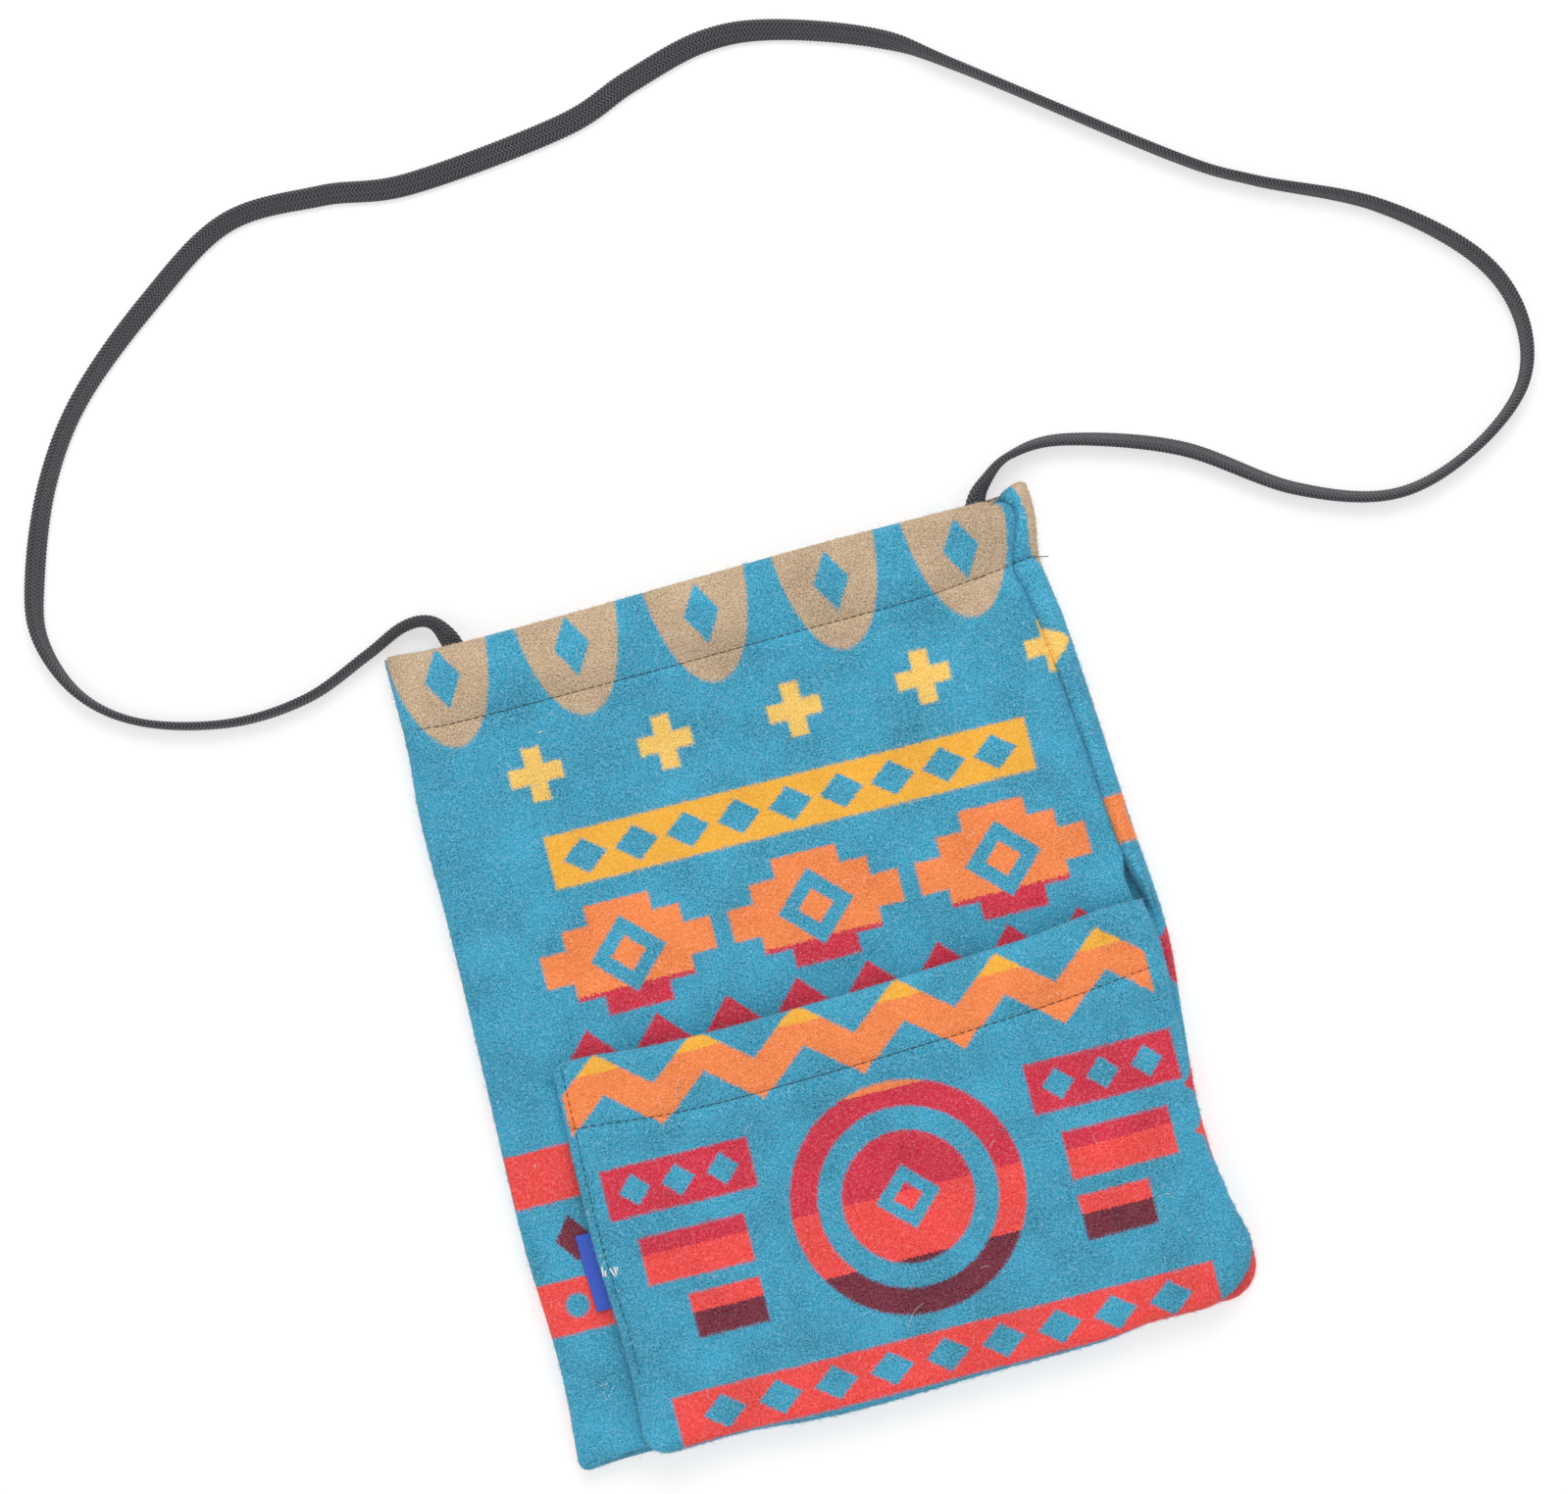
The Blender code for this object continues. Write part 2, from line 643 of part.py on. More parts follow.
def panels():
    left, right = -BAG_WIDTH / 2, BAG_WIDTH / 2
    low = -BAG_HEIGHT / 2 + FIRST_INSIDE
    rim = pocket_top(right)
    hem_line = BAG_HEIGHT / 2 - HEM_STITCH_LINE
    rows = spread(low, rim - 24 * MM, 5) + spread(rim - 12 * MM, rim + 20 * MM, 4)
    rows += spread(rim + 40 * MM, hem_line - 10 * MM, 3)
    hem = (HEM_DEPTH, HEM_STITCH_LINE)
    columns = [left + FIRST_INSIDE] + spread(POCKET_LEFT + LABEL_TUCK, right - FIRST_INSIDE, 9)
    radii = (LEFT_CORNER_RADIUS, FRONT_RIGHT_CORNER_RADIUS)
    front = FrontPanel("front_panel", left, bag_top, radii, columns, rows, hem)
    front.build(COLOURS["front_panel"])
    columns = spread(left + FIRST_INSIDE, right - FIRST_INSIDE, 5)
    radii = (LEFT_CORNER_RADIUS, BACK_RIGHT_CORNER_RADIUS)
    back = BackPanel("back_panel", left, bag_top, radii, columns, rows, hem)
    back.build(COLOURS["back_panel"])
    hem = (POCKET_HEM_DEPTH, POCKET_STITCH_LINE)
    rows = spread(low, rim - POCKET_STITCH_LINE - 12 * MM, 6)
    radii = (POCKET_CORNER_RADIUS, FRONT_RIGHT_CORNER_RADIUS)
    pocket = Pocket("pocket", POCKET_LEFT, pocket_top, radii, pocket_columns(), rows, hem)
    pocket.build(COLOURS["pocket"])


def label():
    """A woven ribbon folded in two, its ends held under the pocket's edge."""
    bm = bmesh.new()
    rows = 6
    profile = [(LABEL_TUCK, -1.0), (0.0, -1.0)]
    for angle in FOLD_ANGLES:
        turn = math.sin(math.radians(angle))
        profile.append((-LABEL_SHOWS + LABEL_FOLD_RADIUS * (1 - math.cos(math.radians(angle))), turn))
    profile += [(0.0, 1.0), (LABEL_TUCK, 1.0)]
    bmesh.ops.create_grid(bm, x_segments=len(profile) - 1, y_segments=rows, size=0.5)
    half_pile = LABEL_FOLD_RADIUS + LABEL_CLOTH / 2
    for vert in bm.verts:
        i = round((vert.co.x + 0.5) * (len(profile) - 1))
        y = LABEL_TOP - LABEL_LENGTH * (0.5 - vert.co.y)
        out, turn = profile[i]
        x = POCKET_LEFT + out
        middle = front_height(x, y) + WOOL / 2 + LABEL_CLEARANCE + half_pile
        vert.co = settled(x, y, middle + turn * LABEL_FOLD_RADIUS)
    obj = add_mesh("label", bm, COLOURS["label"])
    ribbon = obj.modifiers.new("Ribbon", "SOLIDIFY")
    ribbon.thickness = LABEL_CLOTH
    ribbon.offset = 0


def lay_thread(name, colour, height, spots, lift=0.0, tail=None):
    """A thread lying on the wool along (x, y) spots, with a loose tail where one is given."""
    above = WOOL / 2 + THREAD_GAP + THREAD / 2 + lift
    points = [settled(x, y, height(x, y) + above) for x, y in spots]
    if tail is not None:
        points.append(points[-1] + tail)
    add_tube(name, points, colour, THREAD)


def threads():
    """The stitch lines, each one thread lying along the wool."""
    left, right = -BAG_WIDTH / 2, BAG_WIDTH / 2
    line = BAG_HEIGHT / 2 - HEM_STITCH_LINE
    dark, white = COLOURS["thread"], COLOURS["white_thread"]
    tail = Vector((THREAD_TAIL, -THREAD_TAIL_DROP, -THREAD_TAIL_DROP))
    places = spread(left + SHOULDER, right - SHOULDER / 2, 36)
    spots = [(x, line + along(HEM_STITCH_RISE, x)) for x in places]
    lay_thread("front_hem_thread", dark, front_height, spots, tail=tail)
    spots = [(x, line) for x in spread(left + FIRST_INSIDE, right - 2 * FIRST_INSIDE, 9)]
    lay_thread("back_hem_thread", dark, back_hem_height, spots)
    shift = strip(-POCKET_STITCH_LINE)
    places = [moved_in(x, right - FIRST_INSIDE, shift) for x in pocket_columns()]
    places = [POCKET_LEFT + SHOULDER + WOOL / 2] + places + [right - shift - SHOULDER - WOOL / 2]
    spots = [(x, pocket_top(x) - POCKET_STITCH_LINE) for x in places]
    lay_thread("pocket_hem_thread", dark, pocket_height, spots)
    x = POCKET_LEFT + POCKET_SIDE_STITCH + WOOL / 2
    low, high = -BAG_HEIGHT / 2 + 2 * FIRST_INSIDE, pocket_top(x) - POCKET_STITCH_LINE - WOOL
    lay_thread("pocket_side_thread", dark, pocket_height, [(x, y) for y in spread(low, high, 14)])
    x = POCKET_LEFT + WOOL
    spots = [(x, TACK_HEIGHT) for x in spread(x, x + TACK_LENGTH, 4)]
    lay_thread("label_tack_thread", white, pocket_height, spots, lift=THREAD + THREAD_GAP)


def back_hem_height(x, y):
    """Height of the middle of the back panel's turned-in hem."""
    return BACK_HEIGHT + 2 * HEM_RADIUS


def spline_through(points, t):
    """The smooth curve through rows of numbers, read at t rows along."""
    k = min(int(t), len(points) - 2)
    t -= k
    rows = [points[max(k - 1, 0)], points[k], points[k + 1], points[min(k + 2, len(points) - 1)]]
    values = []
    for a, b, c, d in zip(*rows):
        bend = (2 * a - 5 * b + 4 * c - d) * t**2 + (3 * b - a - 3 * c + d) * t**3
        values.append(0.5 * (2 * b + (c - a) * t + bend))
    return values


def strap_points():
    """Centre points of the strap, each with its roll, closer together where it bends at its ends."""
    fine = [spline_through(STRAP_ROUTE, n / 20) for n in range(20 * (len(STRAP_ROUTE) - 1) + 1)]
    half_width = (STRAP_WIDTH - STRAP_THICKNESS) / 2
    places = []
    for x, y, roll, lift in fine:
        low = half_width * abs(math.sin(math.radians(roll))) + STRAP_THICKNESS / 2
        places.append((Vector((x * MM, y * MM, low + max(lift, 0) * MM)), math.radians(roll)))
    lengths = [0.0]
    for (a, _), (b, _) in zip(places, places[1:]):
        lengths.append(lengths[-1] + (b - a).length)
    length = lengths[-1]
    end_count = round(STRAP_END / STRAP_END_STEP)
    middle_count = round((length - 2 * STRAP_END) / STRAP_STEP)
    targets = spread(0, STRAP_END, end_count + 1)
    targets += spread(STRAP_END, length - STRAP_END, middle_count + 1)[1:]
    targets += spread(length - STRAP_END, length, end_count + 1)[1:]
    return [places[min(range(len(lengths)), key=lambda i: abs(lengths[i] - target))] for target in targets]


def strap():
    """One flat braid, its ends sewn inside the mouth."""
    curve = bpy.data.curves.new("strap", "CURVE")
    curve.dimensions = "3D"
    curve.twist_mode = "Z_UP"
    curve.extrude = (STRAP_WIDTH - STRAP_THICKNESS) / 2
    curve.bevel_depth = STRAP_THICKNESS / 2
    curve.bevel_resolution = 1
    curve.use_fill_caps = True
    points = strap_points()
    spline = curve.splines.new("POLY")
    spline.points.add(len(points) - 1)
    for spot, (place, roll) in zip(spline.points, points):
        spot.co = (*place, 1.0)
        spot.tilt = math.pi / 2 - roll
    obj = bpy.data.objects.new("strap", curve)
    curve.materials.append(material("strap", COLOURS["strap"]))
    bpy.data.collections["tote_bag"].objects.link(obj)
    for name, (place, _) in (("strap_tack_left", points[0]), ("strap_tack_right", points[-1])):
        above = STRAP_THICKNESS / 2 + THREAD_GAP / 2 + THREAD / 2
        middle = place + Vector((0, STRAP_TACK_INSET, above))
        reach = Vector((STRAP_WIDTH / 2 - THREAD, 0, 0))
        add_tube(name, [middle - reach, middle, middle + reach], COLOURS["thread"], THREAD)


def main():
    for obj in list(bpy.data.objects):
        bpy.data.objects.remove(obj)
    collection = bpy.data.collections.new("tote_bag")
    bpy.context.scene.collection.children.link(collection)
    panels()
    label()
    threads()
    strap()


main()
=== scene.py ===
"""The looks of a small wool tote bag that lies face up, with a patch pocket and a long braided strap.

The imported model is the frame. Everything is in metres, with +Y towards the bag's mouth and +Z out of its
face.
"""

import bisect
import math

import bmesh
import bpy
import numpy as np
from bpy.props import FloatProperty, FloatVectorProperty, IntProperty, PointerProperty
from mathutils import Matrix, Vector, noise


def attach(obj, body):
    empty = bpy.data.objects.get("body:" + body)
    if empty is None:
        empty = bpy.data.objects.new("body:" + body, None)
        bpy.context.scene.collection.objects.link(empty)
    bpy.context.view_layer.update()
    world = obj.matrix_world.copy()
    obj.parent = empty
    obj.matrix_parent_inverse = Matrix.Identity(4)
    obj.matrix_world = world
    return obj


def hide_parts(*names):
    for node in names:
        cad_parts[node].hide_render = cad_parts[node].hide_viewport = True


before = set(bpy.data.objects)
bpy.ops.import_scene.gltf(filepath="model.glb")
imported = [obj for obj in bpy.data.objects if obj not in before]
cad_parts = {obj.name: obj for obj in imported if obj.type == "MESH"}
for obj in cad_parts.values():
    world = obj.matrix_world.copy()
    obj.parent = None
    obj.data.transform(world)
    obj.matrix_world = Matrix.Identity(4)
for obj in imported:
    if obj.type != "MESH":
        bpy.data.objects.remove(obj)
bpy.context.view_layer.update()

bl_info = {
    "name": "Wool tote bag",
    "version": (1, 0, 0),
    "blender": (4, 5, 0),
    "location": "View3D > Sidebar > Tote bag",
    "description": "Dresses a packed tote bag in felted wool, stitches, a ribbon and a braided strap",
    "category": "Object",
}

MM = 0.001
UV_NAME = "cloth"
# Vertices nearer than this are one
MERGE = 0.001 * MM


class Drift:
    """The smooth curve through (place, value) pairs in mm, read at a place in metres, as metres."""

    def __init__(self, pairs):
        self.places = [place for place, _ in pairs]
        self.values = [value for _, value in pairs]
        last = len(pairs) - 1
        self.slopes = []
        for i in range(len(pairs)):
            low, high = max(i - 1, 0), min(i + 1, last)
            run = self.places[high] - self.places[low]
            self.slopes.append((self.values[high] - self.values[low]) / run)

    def __call__(self, at):
        """The curve's value in metres at a place in metres. It keeps its end values beyond its ends."""
        at /= MM
        if at <= self.places[0]:
            return self.values[0] * MM
        if at >= self.places[-1]:
            return self.values[-1] * MM
        k = bisect.bisect_right(self.places, at) - 1
        span = self.places[k + 1] - self.places[k]
        t = (at - self.places[k]) / span
        start = self.values[k] * (2 * t**3 - 3 * t**2 + 1) + self.slopes[k] * span * (t**3 - 2 * t**2 + t)
        end = self.values[k + 1] * (3 * t**2 - 2 * t**3) + self.slopes[k + 1] * span * (t**3 - t**2)
        return (start + end) * MM


# The bag's outline, as its part has it
BAG_WIDTH = 229 * MM
BAG_HEIGHT = 280 * MM
LEFT_CORNER_RADIUS = 5 * MM
BACK_RIGHT_CORNER_RADIUS = 12 * MM
FRONT_RIGHT_CORNER_RADIUS = 23 * MM
RIM_CORNER_RADIUS = 8 * MM
CORNER_CLIP = 0.6 * MM

# How far each edge wanders outwards from the straight, as (distance along the edge, drift) pairs in mm
LEFT_DRIFT = Drift([
    (-140, 2.7), (-105, 0.5), (-60, 2.2), (0, 1.2), (50, 0.6), (85, 0.9), (108, -0.7), (140, -0.6),
])
RIGHT_DRIFT = Drift([
    (-140, 3.0), (-122, 3.7), (-104, -0.4), (-75, -2.3), (-45, -0.1), (-15, 2.2),
    (20, -0.7), (60, -3.3), (95, -6.2), (115, -8.9), (130, -6.9), (140, -7.1),
])
BOTTOM_DRIFT = Drift([
    (-115, 0.2), (-97, -0.9), (-77, -0.8), (-56, -0.7), (-38, 0.8), (-19, 1.3), (20, 0.1), (60, -0.8),
    (79, -3.2), (115, -1.9),
])
TOP_DRIFT = Drift([
    (-114, -0.7), (-98, -2.3), (-60, -2.3), (0, -0.8), (40, 0.1), (85, 0.4), (101, 0.9), (111, 3.4),
    (115, 2.8),
])

# The wool and how it is sewn
WOOL = 2.0 * MM
GAP = 0.3 * MM
FOLD_RADIUS = 1.3 * MM
SEAM_ALLOWANCE = 9.5 * MM
TRIMMED_ALLOWANCE = 2.2 * MM
CORNER_ALLOWANCE = 3.5 * MM
TRIM_START = 8 * MM
TRIM_LENGTH = 6 * MM

# The hem round the mouth
HEM_DEPTH = 28 * MM
HEM_STITCH_LINE = 25.7 * MM
HEM_RADIUS = 1.2 * MM
HEM_SIDE_INSET = 2.7 * MM
HEM_STITCH_RISE = Drift([(-47, 0), (9, -0.4), (70, -0.3), (92, 1.4), (101, 2.2), (108, 1.6), (115, 0.8)])

# The right side seam lies forward on the face: (y, width of back panel that shows beside it) in mm
SEAM_STRIP = Drift([
    (-140, 0), (-101, 0), (-90, 1.0), (-80, 1.2), (-68, 0.7), (-53, 1.3), (-37, 2.9), (-17, 4.2), (3, 6.4),
    (20, 7.6), (58, 8.5), (85, 9.4), (107, 10), (115, 11), (127, 8.5), (134, 7.8), (140, 10.5),
])
STRIP_RISES_FROM = 4.5 * MM
STRIP_RAISED_AT = 7.4 * MM
STRIP_EDGE_RADIUS = 2.2 * MM
STRIP_CLOSES = 4 * MM
STRIP_CLOSED_AT = -2 * MM
STRIP_CROWN = 0.8 * MM
STRIP_PINCH = 1.3 * MM
STRIP_PINCH_REACH = 3 * MM

# How far the face stands up off the back between its edges
BODY_RISE = 0.8 * MM
BODY_RISE_LENGTH = 50 * MM
MOUTH_RISE = 7.5 * MM
MOUTH_RISE_LENGTH = 95 * MM
FACE_SQUARENESS = 8
STITCH_DIP = 0.5 * MM
STITCH_DIP_REACH = 8 * MM

# The patch pocket on the face
POCKET_INSET = 22.8 * MM
POCKET_LEFT = -BAG_WIDTH / 2 + POCKET_INSET
POCKET_TOP = Drift([(-94, -4.0), (-52, -7.0), (0, -6.2), (46, -4.1), (79, -1.8), (110, 1.6)])
POCKET_CORNER_RADIUS = 8.5 * MM
POCKET_SEAM_RADIUS = 2.5 * MM
POCKET_HEM_DEPTH = 25.5 * MM
POCKET_STITCH_LINE = 23.4 * MM
POCKET_SIDE_STITCH = 2.0 * MM
POCKET_RISE = 4.8 * MM
POCKET_MOUTH_RISE = 1.2 * MM
POCKET_EASE = 0.6 * MM
POCKET_RAMP_START = 15 * MM
POCKET_RAMP = 9 * MM
POCKET_EDGE_REACH = 35 * MM
POCKET_LEFT_FLAT = 8 * MM
POCKET_LEFT_REACH = 22 * MM
POCKET_HEM_REACH = 12 * MM
POCKET_SWELLS_FROM = 4 * MM
POCKET_SWELL = 32 * MM
POCKET_BOTTOM_SWELL = 38 * MM

# The woven label folded under the pocket's left edge
LABEL_SHOWS = 5.2 * MM
LABEL_TUCK = 6.0 * MM
LABEL_TOP = -62.4 * MM
LABEL_LENGTH = 26.4 * MM
LABEL_CLOTH = 0.35 * MM
LABEL_FOLD_RADIUS = 0.25 * MM
LABEL_CLEARANCE = 0.3 * MM

# The threads
THREAD_TAIL = 5.0 * MM
THREAD_TAIL_DROP = 1.0 * MM
TACK_HEIGHT = -75.7 * MM
STRAP_TACK_INSET = 4 * MM
STRAP_TACK_SWING = 1.2 * MM
STRAP_TACK_TURNS = 15
WHITE_THREAD = 0.6 * MM
# How far in from the side seams the lines of stitches on the face start
STITCH_INSET = 4.5 * MM
# The points of one stitch, and how square its arch is (1 is a plain sine)
STITCH_STEPS = 8
STITCH_ARCH = 0.3
THREAD_TAIL_STEPS = 12
# How far a thread stands over the wool between its holes, and sinks into it at each
FACE_STITCH = (0.08 * MM, 0.3 * MM)
INNER_STITCH = (0.25 * MM, 0.6 * MM)
TACK_ARCH = 0.6
TACK_SINK = 0.5 * MM
TACK_LIFT = 0.3 * MM
# The white strokes as (in from the pocket's edge, up from the tack's height, length, lean at its top) in mm
TACK_STROKES = [
    (0.75, 0.13, 3.3, 0.3), (1.45, -0.65, 2.1, 0.3), (3.7, -0.7, 3.6, -1.15), (4.85, -0.55, 3.1, 0.0),
    (5.6, -0.05, 1.3, 0.3),
]

# The strap's centre line from its left end to its right: (x, y, roll in degrees, lift), lengths in metres.
# A roll of 0 lies flat and one of 90 stands on edge.
STRAP_ROUTE = [
    (-0.0891, 0.12, 0, 0.0047), (-0.0904, 0.129, 1, 0.0047), (-0.0923, 0.139, 34, 0.0047),
    (-0.0976, 0.1461, 70, 0.002), (-0.1067, 0.1465, 79, 0.0006), (-0.1205, 0.1404, 82, 0),
    (-0.1433, 0.1314, 84, 0), (-0.1701, 0.1297, 86, 0), (-0.1984, 0.137, 88, 0), (-0.2164, 0.151, 93, 0),
    (-0.2246, 0.172, 112, 0), (-0.2215, 0.1925, 131, 0), (-0.2098, 0.2217, 122, 0),
    (-0.1919, 0.247, 121, 0), (-0.1619, 0.2725, 135, 0), (-0.1309, 0.2917, 133, 0),
    (-0.0978, 0.2928, 141, 0), (-0.0681, 0.2895, 151, 0), (-0.0146, 0.2957, 165, 0),
    (0.0111, 0.3045, 156, 0), (0.0378, 0.3115, 154, 0), (0.0617, 0.3096, 140, 0),
    (0.0947, 0.2982, 127, 0), (0.1182, 0.2828, 93, 0), (0.1797, 0.2366, 93, 0), (0.2045, 0.2217, 94, 0),
    (0.2418, 0.204, 105, 0.0002), (0.2694, 0.1799, 112, 0.0013), (0.2794, 0.1564, 107, 0.0016),
    (0.2746, 0.1335, 101, 0.0013), (0.2526, 0.1161, 98, 0.0002), (0.2244, 0.1087, 106, 0),
    (0.1928, 0.1187, 117, 0), (0.1593, 0.1409, 124, 0), (0.123, 0.1531, 114, 0),
    (0.1036, 0.1525, 94, 0.0006), (0.093, 0.1457, 68, 0.002), (0.088, 0.1385, 30, 0.0047),
    (0.0867, 0.129, 1, 0.0047), (0.0858, 0.12, 0, 0.0047),
]
# The points that the curve is worked out at, from one row of the route to the next
ROUTE_STEPS = 40

# Heights of the middles of the stacked layers at the seams, from the bottom up
LAYER = WOOL + GAP
BACK_HEIGHT = WOOL / 2
BACK_FLAP_HEIGHT = BACK_HEIGHT + 2 * FOLD_RADIUS
POCKET_FLAP_HEIGHT = BACK_FLAP_HEIGHT + LAYER
FRONT_FLAP_HEIGHT = BACK_FLAP_HEIGHT + LAYER
FRONT_HEIGHT = FRONT_FLAP_HEIGHT + 2 * FOLD_RADIUS

# The grid of each panel
FOLD_STEPS = 9
FACE_STEPS = 5
FACE_STEP = 1.5 * MM
FIRST_INSIDE = 14 * MM
HEM_RING_STEP = 0.8 * MM
HEM_FINE_STEP = 0.7 * MM
HEM_FINE_ROWS = range(12, -8, -1)
HEM_INSIDE_ROWS = 12
TUCK_STEP = 0.5 * MM
# How much thicker the loose fibres stand on a folded edge than on a face
EDGE_NAP = 8

# What the part leaves out: how stitches pull the wool in, and how the cloth lies
GROOVE = 0.75 * MM
GROOVE_WIDTH = 1.5 * MM
# The groove's depth between two holes beside that at a hole, and the pocket's side groove beside a hem's
GROOVE_BETWEEN = 0.65
SIDE_GROOVE = 0.6
HEM_PUFF = 1.3 * MM
HEM_STEP = 1.5 * MM
# The share of the hem's step at the left edge, and how much that grows to the right
HEM_STEP_LEFT = 0.4
HEM_STEP_GROWS = 0.9
HEM_STEP_REACH = 7 * MM
HEM_STEP_HOLDS = 20 * MM
HEM_STEP_RETURN = 50 * MM
HEM_PUFF_REACH = 9 * MM
UNDULATION = 0.45 * MM
UNDULATION_LENGTH = 34 * MM
LUMPS = 0.12 * MM
LUMP_LENGTH = 7 * MM
# Where in the noise the front's swells, the pocket's, and the lumps beside their swells are read
FRONT_SEED = 0.0
POCKET_SEED = 3.1
LUMP_SEED = 7.3
SEAM_PRESS = 1.1 * MM
BACK_PEAK = (-0.2 * MM, 1.0 * MM)
BACK_PEAK_REACH = 14 * MM
FLOOR_CLEARANCE = 0.08 * MM


def linear(hex_colour):
    """The linear colour of an sRGB hex value such as 0x3F9DBE."""
    channels = [(hex_colour >> shift & 255) / 255 for shift in (16, 8, 0)]
    return tuple(c / 12.92 if c <= 0.04045 else ((c + 0.055) / 1.055) ** 2.4 for c in channels)


def colour_property(name, description, hex_colour):
    """A colour that a user can set."""
    return FloatVectorProperty(
        name=name, description=description, default=linear(hex_colour), subtype="COLOR", size=3, min=0, max=1
    )


def length_property(name, description, default):
    """A length that a user can set."""
    return FloatProperty(name=name, description=description, default=default, unit="LENGTH", min=0.0)


def count_property(name, description, default):
    """A number of pieces that a user can set."""
    return IntProperty(name=name, description=description, default=default, min=0)


class ToteSizes(bpy.types.PropertyGroup):
    """Sizes of what is laid on the bag."""

    cell: length_property("Cloth cell", "Side of a cell in the panels' grids", 1.75 * MM)
    stitch: length_property("Stitch length", "From one needle hole to the next", 2.8 * MM)
    thread: length_property("Thread", "Diameter of the sewing thread", 0.29 * MM)
    braid_width: length_property("Braid width", "Width of the flat braid", 7.6 * MM)
    braid_thickness: length_property("Braid thickness", "Thickness of the flat braid", 2.4 * MM)
    braid_rib: length_property("Braid rib", "From one rib of the braid to the next along it", 1.3 * MM)
    braid_relief: length_property("Braid relief", "How far a rib stands out", 0.34 * MM)
    fibre_length: length_property("Fibre length", "Usual length of a loose wool fibre", 2.8 * MM)
    fibre: length_property("Fibre thickness", "Thickness of a loose wool fibre", 0.09 * MM)
    front_fibres: count_property("Front fibres", "Loose fibres on the front", 11500)
    pocket_fibres: count_property("Pocket fibres", "Loose fibres on the pocket", 10500)
    back_fibres: count_property("Back fibres", "Loose fibres on the back", 9500)


class ToteColours(bpy.types.PropertyGroup):
    """Colours of the bag, as the eye sees them in plain light."""

    ground: colour_property("Ground", "Teal wool of the cloth's ground", 0x39A3C5)
    tan: colour_property("Tan", "Tan wool of the band at the mouth", 0xC9AE8E)
    straw: colour_property("Straw", "Pale yellow wool", 0xFFD068)
    gold: colour_property("Gold", "Golden yellow wool", 0xFFBA3C)
    orange: colour_property("Orange", "Orange wool", 0xFF8D49)
    raspberry: colour_property("Raspberry", "Raspberry wool", 0xDA2C47)
    coral: colour_property("Coral", "Coral red wool", 0xFA4A46)
    maroon: colour_property("Maroon", "Maroon wool", 0x7A2B3E)
    braid: colour_property("Braid", "Charcoal braid of the strap", 0x46464B)
    ribbon: colour_property("Ribbon", "Blue ribbon of the label", 0x3A5CC8)
    dark_thread: colour_property("Dark thread", "Thread of the hems", 0x33302F)
    white_thread: colour_property("White thread", "Thread of the tack beside the label", 0xF2F4F4)
    floor: colour_property("Floor", "Paper that the bag lies on", 0xF4F4F4)


def smooth(t):
    """0 below 0, 1 above 1 and an even S between."""
    t = min(max(t, 0.0), 1.0)
    return t * t * (3 - 2 * t)


def mix(a, b, t):
    """The value a share t of the way from a to b."""
    return a + (b - a) * t


def spread(low, high, count):
    """Evenly spaced values from low to high."""
    return [mix(low, high, n / (count - 1)) for n in range(count)]


def strip(y):
    """Width of the back panel that shows on the face beside the right seam."""
    return max(SEAM_STRIP(y), 0.0)


def strip_raised(y):
    """0 where the strip lies flat and 1 where it stands up as a loop, which closes just below the rim."""
    below_rim = BAG_HEIGHT / 2 - y
    opened = smooth((below_rim - STRIP_CLOSED_AT) / (STRIP_CLOSES - STRIP_CLOSED_AT))
    return opened * smooth((strip(y) - STRIP_RISES_FROM) / (STRIP_RAISED_AT - STRIP_RISES_FROM))


def wander(x, y):
    """A point of the straight-sided bag moved to where the real outline takes it."""
    right = 0.5 + x / BAG_WIDTH
    top = 0.5 + y / BAG_HEIGHT
    dx = RIGHT_DRIFT(y) * right - LEFT_DRIFT(y) * (1 - right)
    dy = TOP_DRIFT(x) * top - BOTTOM_DRIFT(x) * (1 - top)
    return x + dx, y + dy


def frame_shift():
    """What brings the middle of the outline to the origin. Its lower left corner is rounded off."""
    steps = spread(-0.5, 0.5, 101)
    lefts = [wander(-BAG_WIDTH / 2, t * BAG_HEIGHT)[0] for t in steps]
    rights = [wander(BAG_WIDTH / 2, t * BAG_HEIGHT)[0] for t in steps]
    bottoms = [wander(t * BAG_WIDTH, -BAG_HEIGHT / 2)[1] for t in steps]
    tops = [wander(t * BAG_WIDTH, BAG_HEIGHT / 2)[1] for t in steps]
    middle_x = (min(lefts) + CORNER_CLIP + max(rights)) / 2
    return Vector((-middle_x, -(min(bottoms) + max(tops)) / 2, 0))


SHIFT = frame_shift()


def settled(x, y, z):
    """The final place of a point of the straight-sided bag."""
    x, y = wander(x, y)
    return Vector((x, y, z)) + SHIFT


def pocket_top(x):
    """Height up the bag of the pocket's rim, before the outline wanders."""
    rim = POCKET_TOP(x)
    return rim - (wander(x, rim)[1] - rim)


POCKET_RIM_AT_SEAM = pocket_top(BAG_WIDTH / 2)


def hem_line(x):
    """Height up the bag of the front hem's stitches, which rise towards the right seam."""
    return BAG_HEIGHT / 2 - HEM_STITCH_LINE + HEM_STITCH_RISE(x)


def beside_pocket(x):
    """0 well to the left of the pocket, and 1 from just before its left edge on."""
    return smooth((x - POCKET_LEFT + POCKET_RAMP_START) / POCKET_RAMP)


def below_pocket_top(y):
    """0 well above the pocket's rim at the right seam, and 1 from just above it on."""
    return smooth((POCKET_RIM_AT_SEAM + POCKET_RAMP_START - y) / POCKET_RAMP)


def pocket_caught(side, place):
    """1 where the pocket's edge lies in the seam, and 0 where it doesn't."""
    if side == "left":
        return 0.0
    return below_pocket_top(place) if side == "right" else beside_pocket(place)


